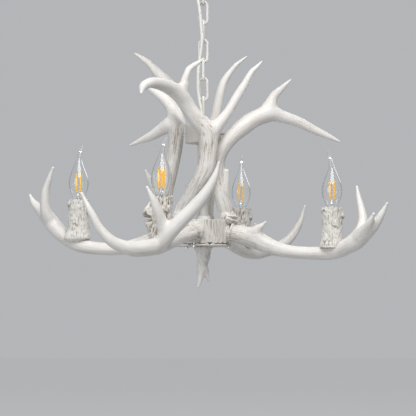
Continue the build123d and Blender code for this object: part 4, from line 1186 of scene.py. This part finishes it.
# ---------------------------------------------------------------- lamps
def glass_rings(line, lean, inset):
    """Rings of the glass, square to its bent centre line."""
    across, other = Vector((cos(lean), sin(lean), 0)), Vector((-sin(lean), cos(lean), 0))
    rows = []
    for i, (height, radius, lean_out) in enumerate(line):
        before, after = line[max(0, i - 1)], line[min(len(line) - 1, i + 1)]
        tilt = (after[2] - before[2]) / max(1e-6, after[0] - before[0])
        out_way = (across - Vector((0, 0, tilt))).normalized()
        centre = Vector((0, 0, height)) + across * lean_out
        for turn in turns_of(GLASS_SIDES):
            away = out_way * cos(turn) + other * sin(turn)
            rows.append(centre + away * max(0.15, radius - inset))
    return rows


def tip_faces(rings, start):
    """Faces of a skin that is open at the neck and closed at the tip."""
    last = start + (rings - 1) * GLASS_SIDES
    tip = tuple(range(last, last + GLASS_SIDES))
    return wrap_faces(rings, GLASS_SIDES, start=start, caps=False) + [tip]


def make_glass(side, base):
    """The envelope: an outer and an inner skin that meet round the neck."""
    lean = radians(TIP_LEAN[side])
    outer = smooth_path([(*row, 1) for row in GLASS_LINE], 1.0)[:, :3].tolist()
    height, radius, lean_out = outer[-1]
    outer.append([height + 0.9, radius * 0.55, lean_out + 0.4])
    inner = [row for row in outer if row[0] < GLASS_HOLLOW] + [[GLASS_HOLLOW + 2, 0.9, 4.0]]
    rows = glass_rings(outer, lean, 0) + glass_rings(inner, lean, GLASS_WALL)
    start = len(outer) * GLASS_SIDES
    faces = tip_faces(len(outer), 0) + [face[::-1] for face in tip_faces(len(inner), start)]
    for j in range(GLASS_SIDES):
        k = (j + 1) % GLASS_SIDES
        faces.append((j, start + j, start + k, k))
    glass = new_piece(f"glass_{side}", [base + row for row in rows], faces, GLASS)
    carry(glass, f"bulb_{side}", "clear_glass", f"bulb_glass_{side}")


def make_sticks(side, base):
    """The glass stem in the bulb, with four filament sticks round it and the wires that hold them."""
    body, node = f"bulb_{side}", f"bulb_filaments_{side}"
    stem = lathe(rounded(STEM_PROFILE, 1.2), 32, tuple(base))
    carry(new_piece(f"stem_{side}", *stem, STEM_GLASS), body, "clear_glass", node)
    sticks, wires = [], []
    for azimuth in (STICK_TURN[side] + 90 * k for k in range(4)):
        root, low, high = (base + Vector(out(azimuth, *place)) for place in STICK_PLACES)
        sticks.append(rod(low, high, STICK_RADIUS, 16))
        wires += [rod(a, b, STICK_WIRE_RADIUS, 8) for a, b in (
            (root, low), (high, high + Vector((0, 0, 1.4))),
            (high + Vector((0, 0, 1.3)), base + Vector((0, 0, 51.5))))]
    carry(new_piece(f"sticks_{side}", *joined(sticks), STICK), body, "filament", node)
    carry(new_piece(f"stick_wires_{side}", *joined(wires), ZINC), body, "zinc_steel", node)


def make_cap(side, x, y, foot):
    """The screw cap: its contact, its rolled thread and the rim under the glass."""
    def cap_rings(profile):
        rings = [ring((x, y), radius, foot + height, CAP_SIDES) for radius, height in profile]
        return [point for one in rings for point in one]

    thread = []
    for height in np.linspace(THREAD_LOW, THREAD_HIGH, 72):
        fade = min(1.0, (height - THREAD_LOW) / 1.5, (THREAD_HIGH - height) / 1.5)
        for turn in turns_of(CAP_SIDES):
            wave = sin(2 * pi * height / THREAD_PITCH - turn)
            radius = THREAD_RADIUS + THREAD_DEPTH * wave * max(0.0, fade)
            thread.append((x + radius * cos(turn), y + radius * sin(turn), foot + height))
    points = cap_rings(CONTACT_PROFILE) + thread + cap_rings(CAP_RIM_PROFILE)
    cap = new_piece(f"cap_{side}", points, wrap_faces(len(points) // CAP_SIDES, CAP_SIDES), CAP_METAL)
    carry(cap, f"bulb_{side}", "cap_metal", f"bulb_cap_{side}")


def make_holder(side, x, y, cup_base):
    """The lamp holder: a sleeve that stands on the cup's floor, with a socket from above."""
    low, top, socket = cup_base + CUP_FLOOR, cup_base + HOLDER_TOP, cup_base + SOCKET_FLOOR
    profile = rounded([(4.1, low), (12.5, low), (12.5, top - 14), (11.9, top - 13.4), (11.9, top),
                       (7.5, top), (7.3, socket), (4.1, socket)], 0.6, closed=True)
    turned(f"holder_{side}", profile, 56, HOLDER, "fixture", "holder_plastic", f"lamp_holder_{side}",
           centre=(x, y, 0))


for side in SIDES:
    x, y, z = cup_place(side)
    glass_base = Vector((x, y, z + CAP_FOOT + CAP_HEIGHT))
    make_glass(side, glass_base)
    make_sticks(side, glass_base)
    make_cap(side, x, y, z + CAP_FOOT)
    make_holder(side, x, y, z)


# ---------------------------------------------------------------- nodes that keep their shape
KEPT = {
    ZINC: ["ceiling_bracket", "canopy_nipple", "canopy_lock_nut", "upper_rod_nut", "lower_rod_nut",
           "plate_screws", "arm_bolts", "antler_screws", *(f"lamp_nipple_{side}" for side in SIDES)],
    BUSH: ["canopy_cord_bush", "hub_cord_bush"],
    CONNECTOR: ["wire_connectors"],
}
for material, nodes in KEPT.items():
    for node in nodes:
        dress(bpy.data.objects[node].data, material)


# ---------------------------------------------------------------- studio
def seen_directly(g):
    """One for rays sent out by the camera, glass or metal, and nought for those that light a surface."""
    rays = g.add("ShaderNodeLightPath").outputs
    camera, glossy, through = (rays[f"Is {kind} Ray"] for kind in ("Camera", "Glossy", "Transmission"))
    return g.math("MAXIMUM", g.math("MAXIMUM", camera, glossy), through)


def pale(name, shade, strength):
    """A pale matt surface that the camera, glass and metal see as a plain light tone."""
    material = bpy.data.materials.new(name)
    material.use_nodes = True
    g = Nodes(material.node_tree)
    g.tree.nodes.clear()
    tone = (shade, shade, shade, 1)
    matt = g.add("ShaderNodeBsdfDiffuse", {"Color": tone}).outputs[0]
    glow = g.add("ShaderNodeEmission", {"Color": tone, "Strength": strength}).outputs[0]
    both = g.add("ShaderNodeAddShader", {0: matt, 1: glow}).outputs[0]
    pick = g.add("ShaderNodeMixShader", {0: seen_directly(g), 1: matt, 2: both}).outputs[0]
    g.add("ShaderNodeOutputMaterial", {"Surface": pick})
    return material


floor_mesh = bpy.data.meshes.new("studio_floor")
corners = [(x * FLOOR_REACH, y * FLOOR_REACH, FLOOR_Z) for x, y in ((-1, -1), (1, -1), (1, 1), (-1, 1))]
floor_mesh.from_pydata(corners, [], [(0, 1, 2, 3)])
floor_mesh.materials.append(pale("studio_pale", 0.42, 0.78))
linked("studio_floor", floor_mesh)

world = bpy.data.worlds.new("studio_air")
world.use_nodes = True
scene.world = world
air = Nodes(world.node_tree)
air.tree.nodes.clear()
lit = air.add("ShaderNodeBackground", {"Color": (0.90, 0.95, 1.0, 1), "Strength": 0.30}).outputs[0]
seen = air.add("ShaderNodeBackground", {"Color": (0.455, 0.465, 0.48, 1), "Strength": 1.0}).outputs[0]
pick = air.add("ShaderNodeMixShader", {0: seen_directly(air), 1: lit, 2: seen}).outputs[0]
air.add("ShaderNodeOutputWorld", {"Surface": pick})

# Each soft light: its place, its width, its power and its colour.
LIGHTS = {
    "key_light": ((0.3, -1.6, 1.8), 2.4, 72, (1.0, 0.985, 0.965)),
    "fill_light": ((-1.8, -2.5, -0.25), 2.4, 34, (0.95, 0.97, 1.0)),
    "rim_light": ((0.9, 2.2, 0.9), 2.0, 12, (1.0, 0.99, 0.97)),
}
for name, (place, size, power, colour) in LIGHTS.items():
    light = bpy.data.lights.new(name, "AREA")
    light.shape, light.size, light.energy, light.color = "DISK", size, power, colour
    lamp = linked(name, light)
    lamp.location = place
    lamp.rotation_euler = (LIGHT_AIM - Vector(place)).to_track_quat("-Z", "Y").to_euler()

lens = bpy.data.cameras.new("photo_camera")
lens.lens, lens.sensor_width = 218.2, 36
lens.clip_start, lens.clip_end = 0.1, 60
camera = linked("photo_camera", lens)
camera.location = CAMERA_AIM - Vector((0, cos(CAMERA_RISE), sin(CAMERA_RISE))) * CAMERA_DISTANCE
camera.rotation_euler = (pi / 2 + CAMERA_RISE, 0, 0)
scene.camera = camera
scene.view_settings.view_transform = "Standard"
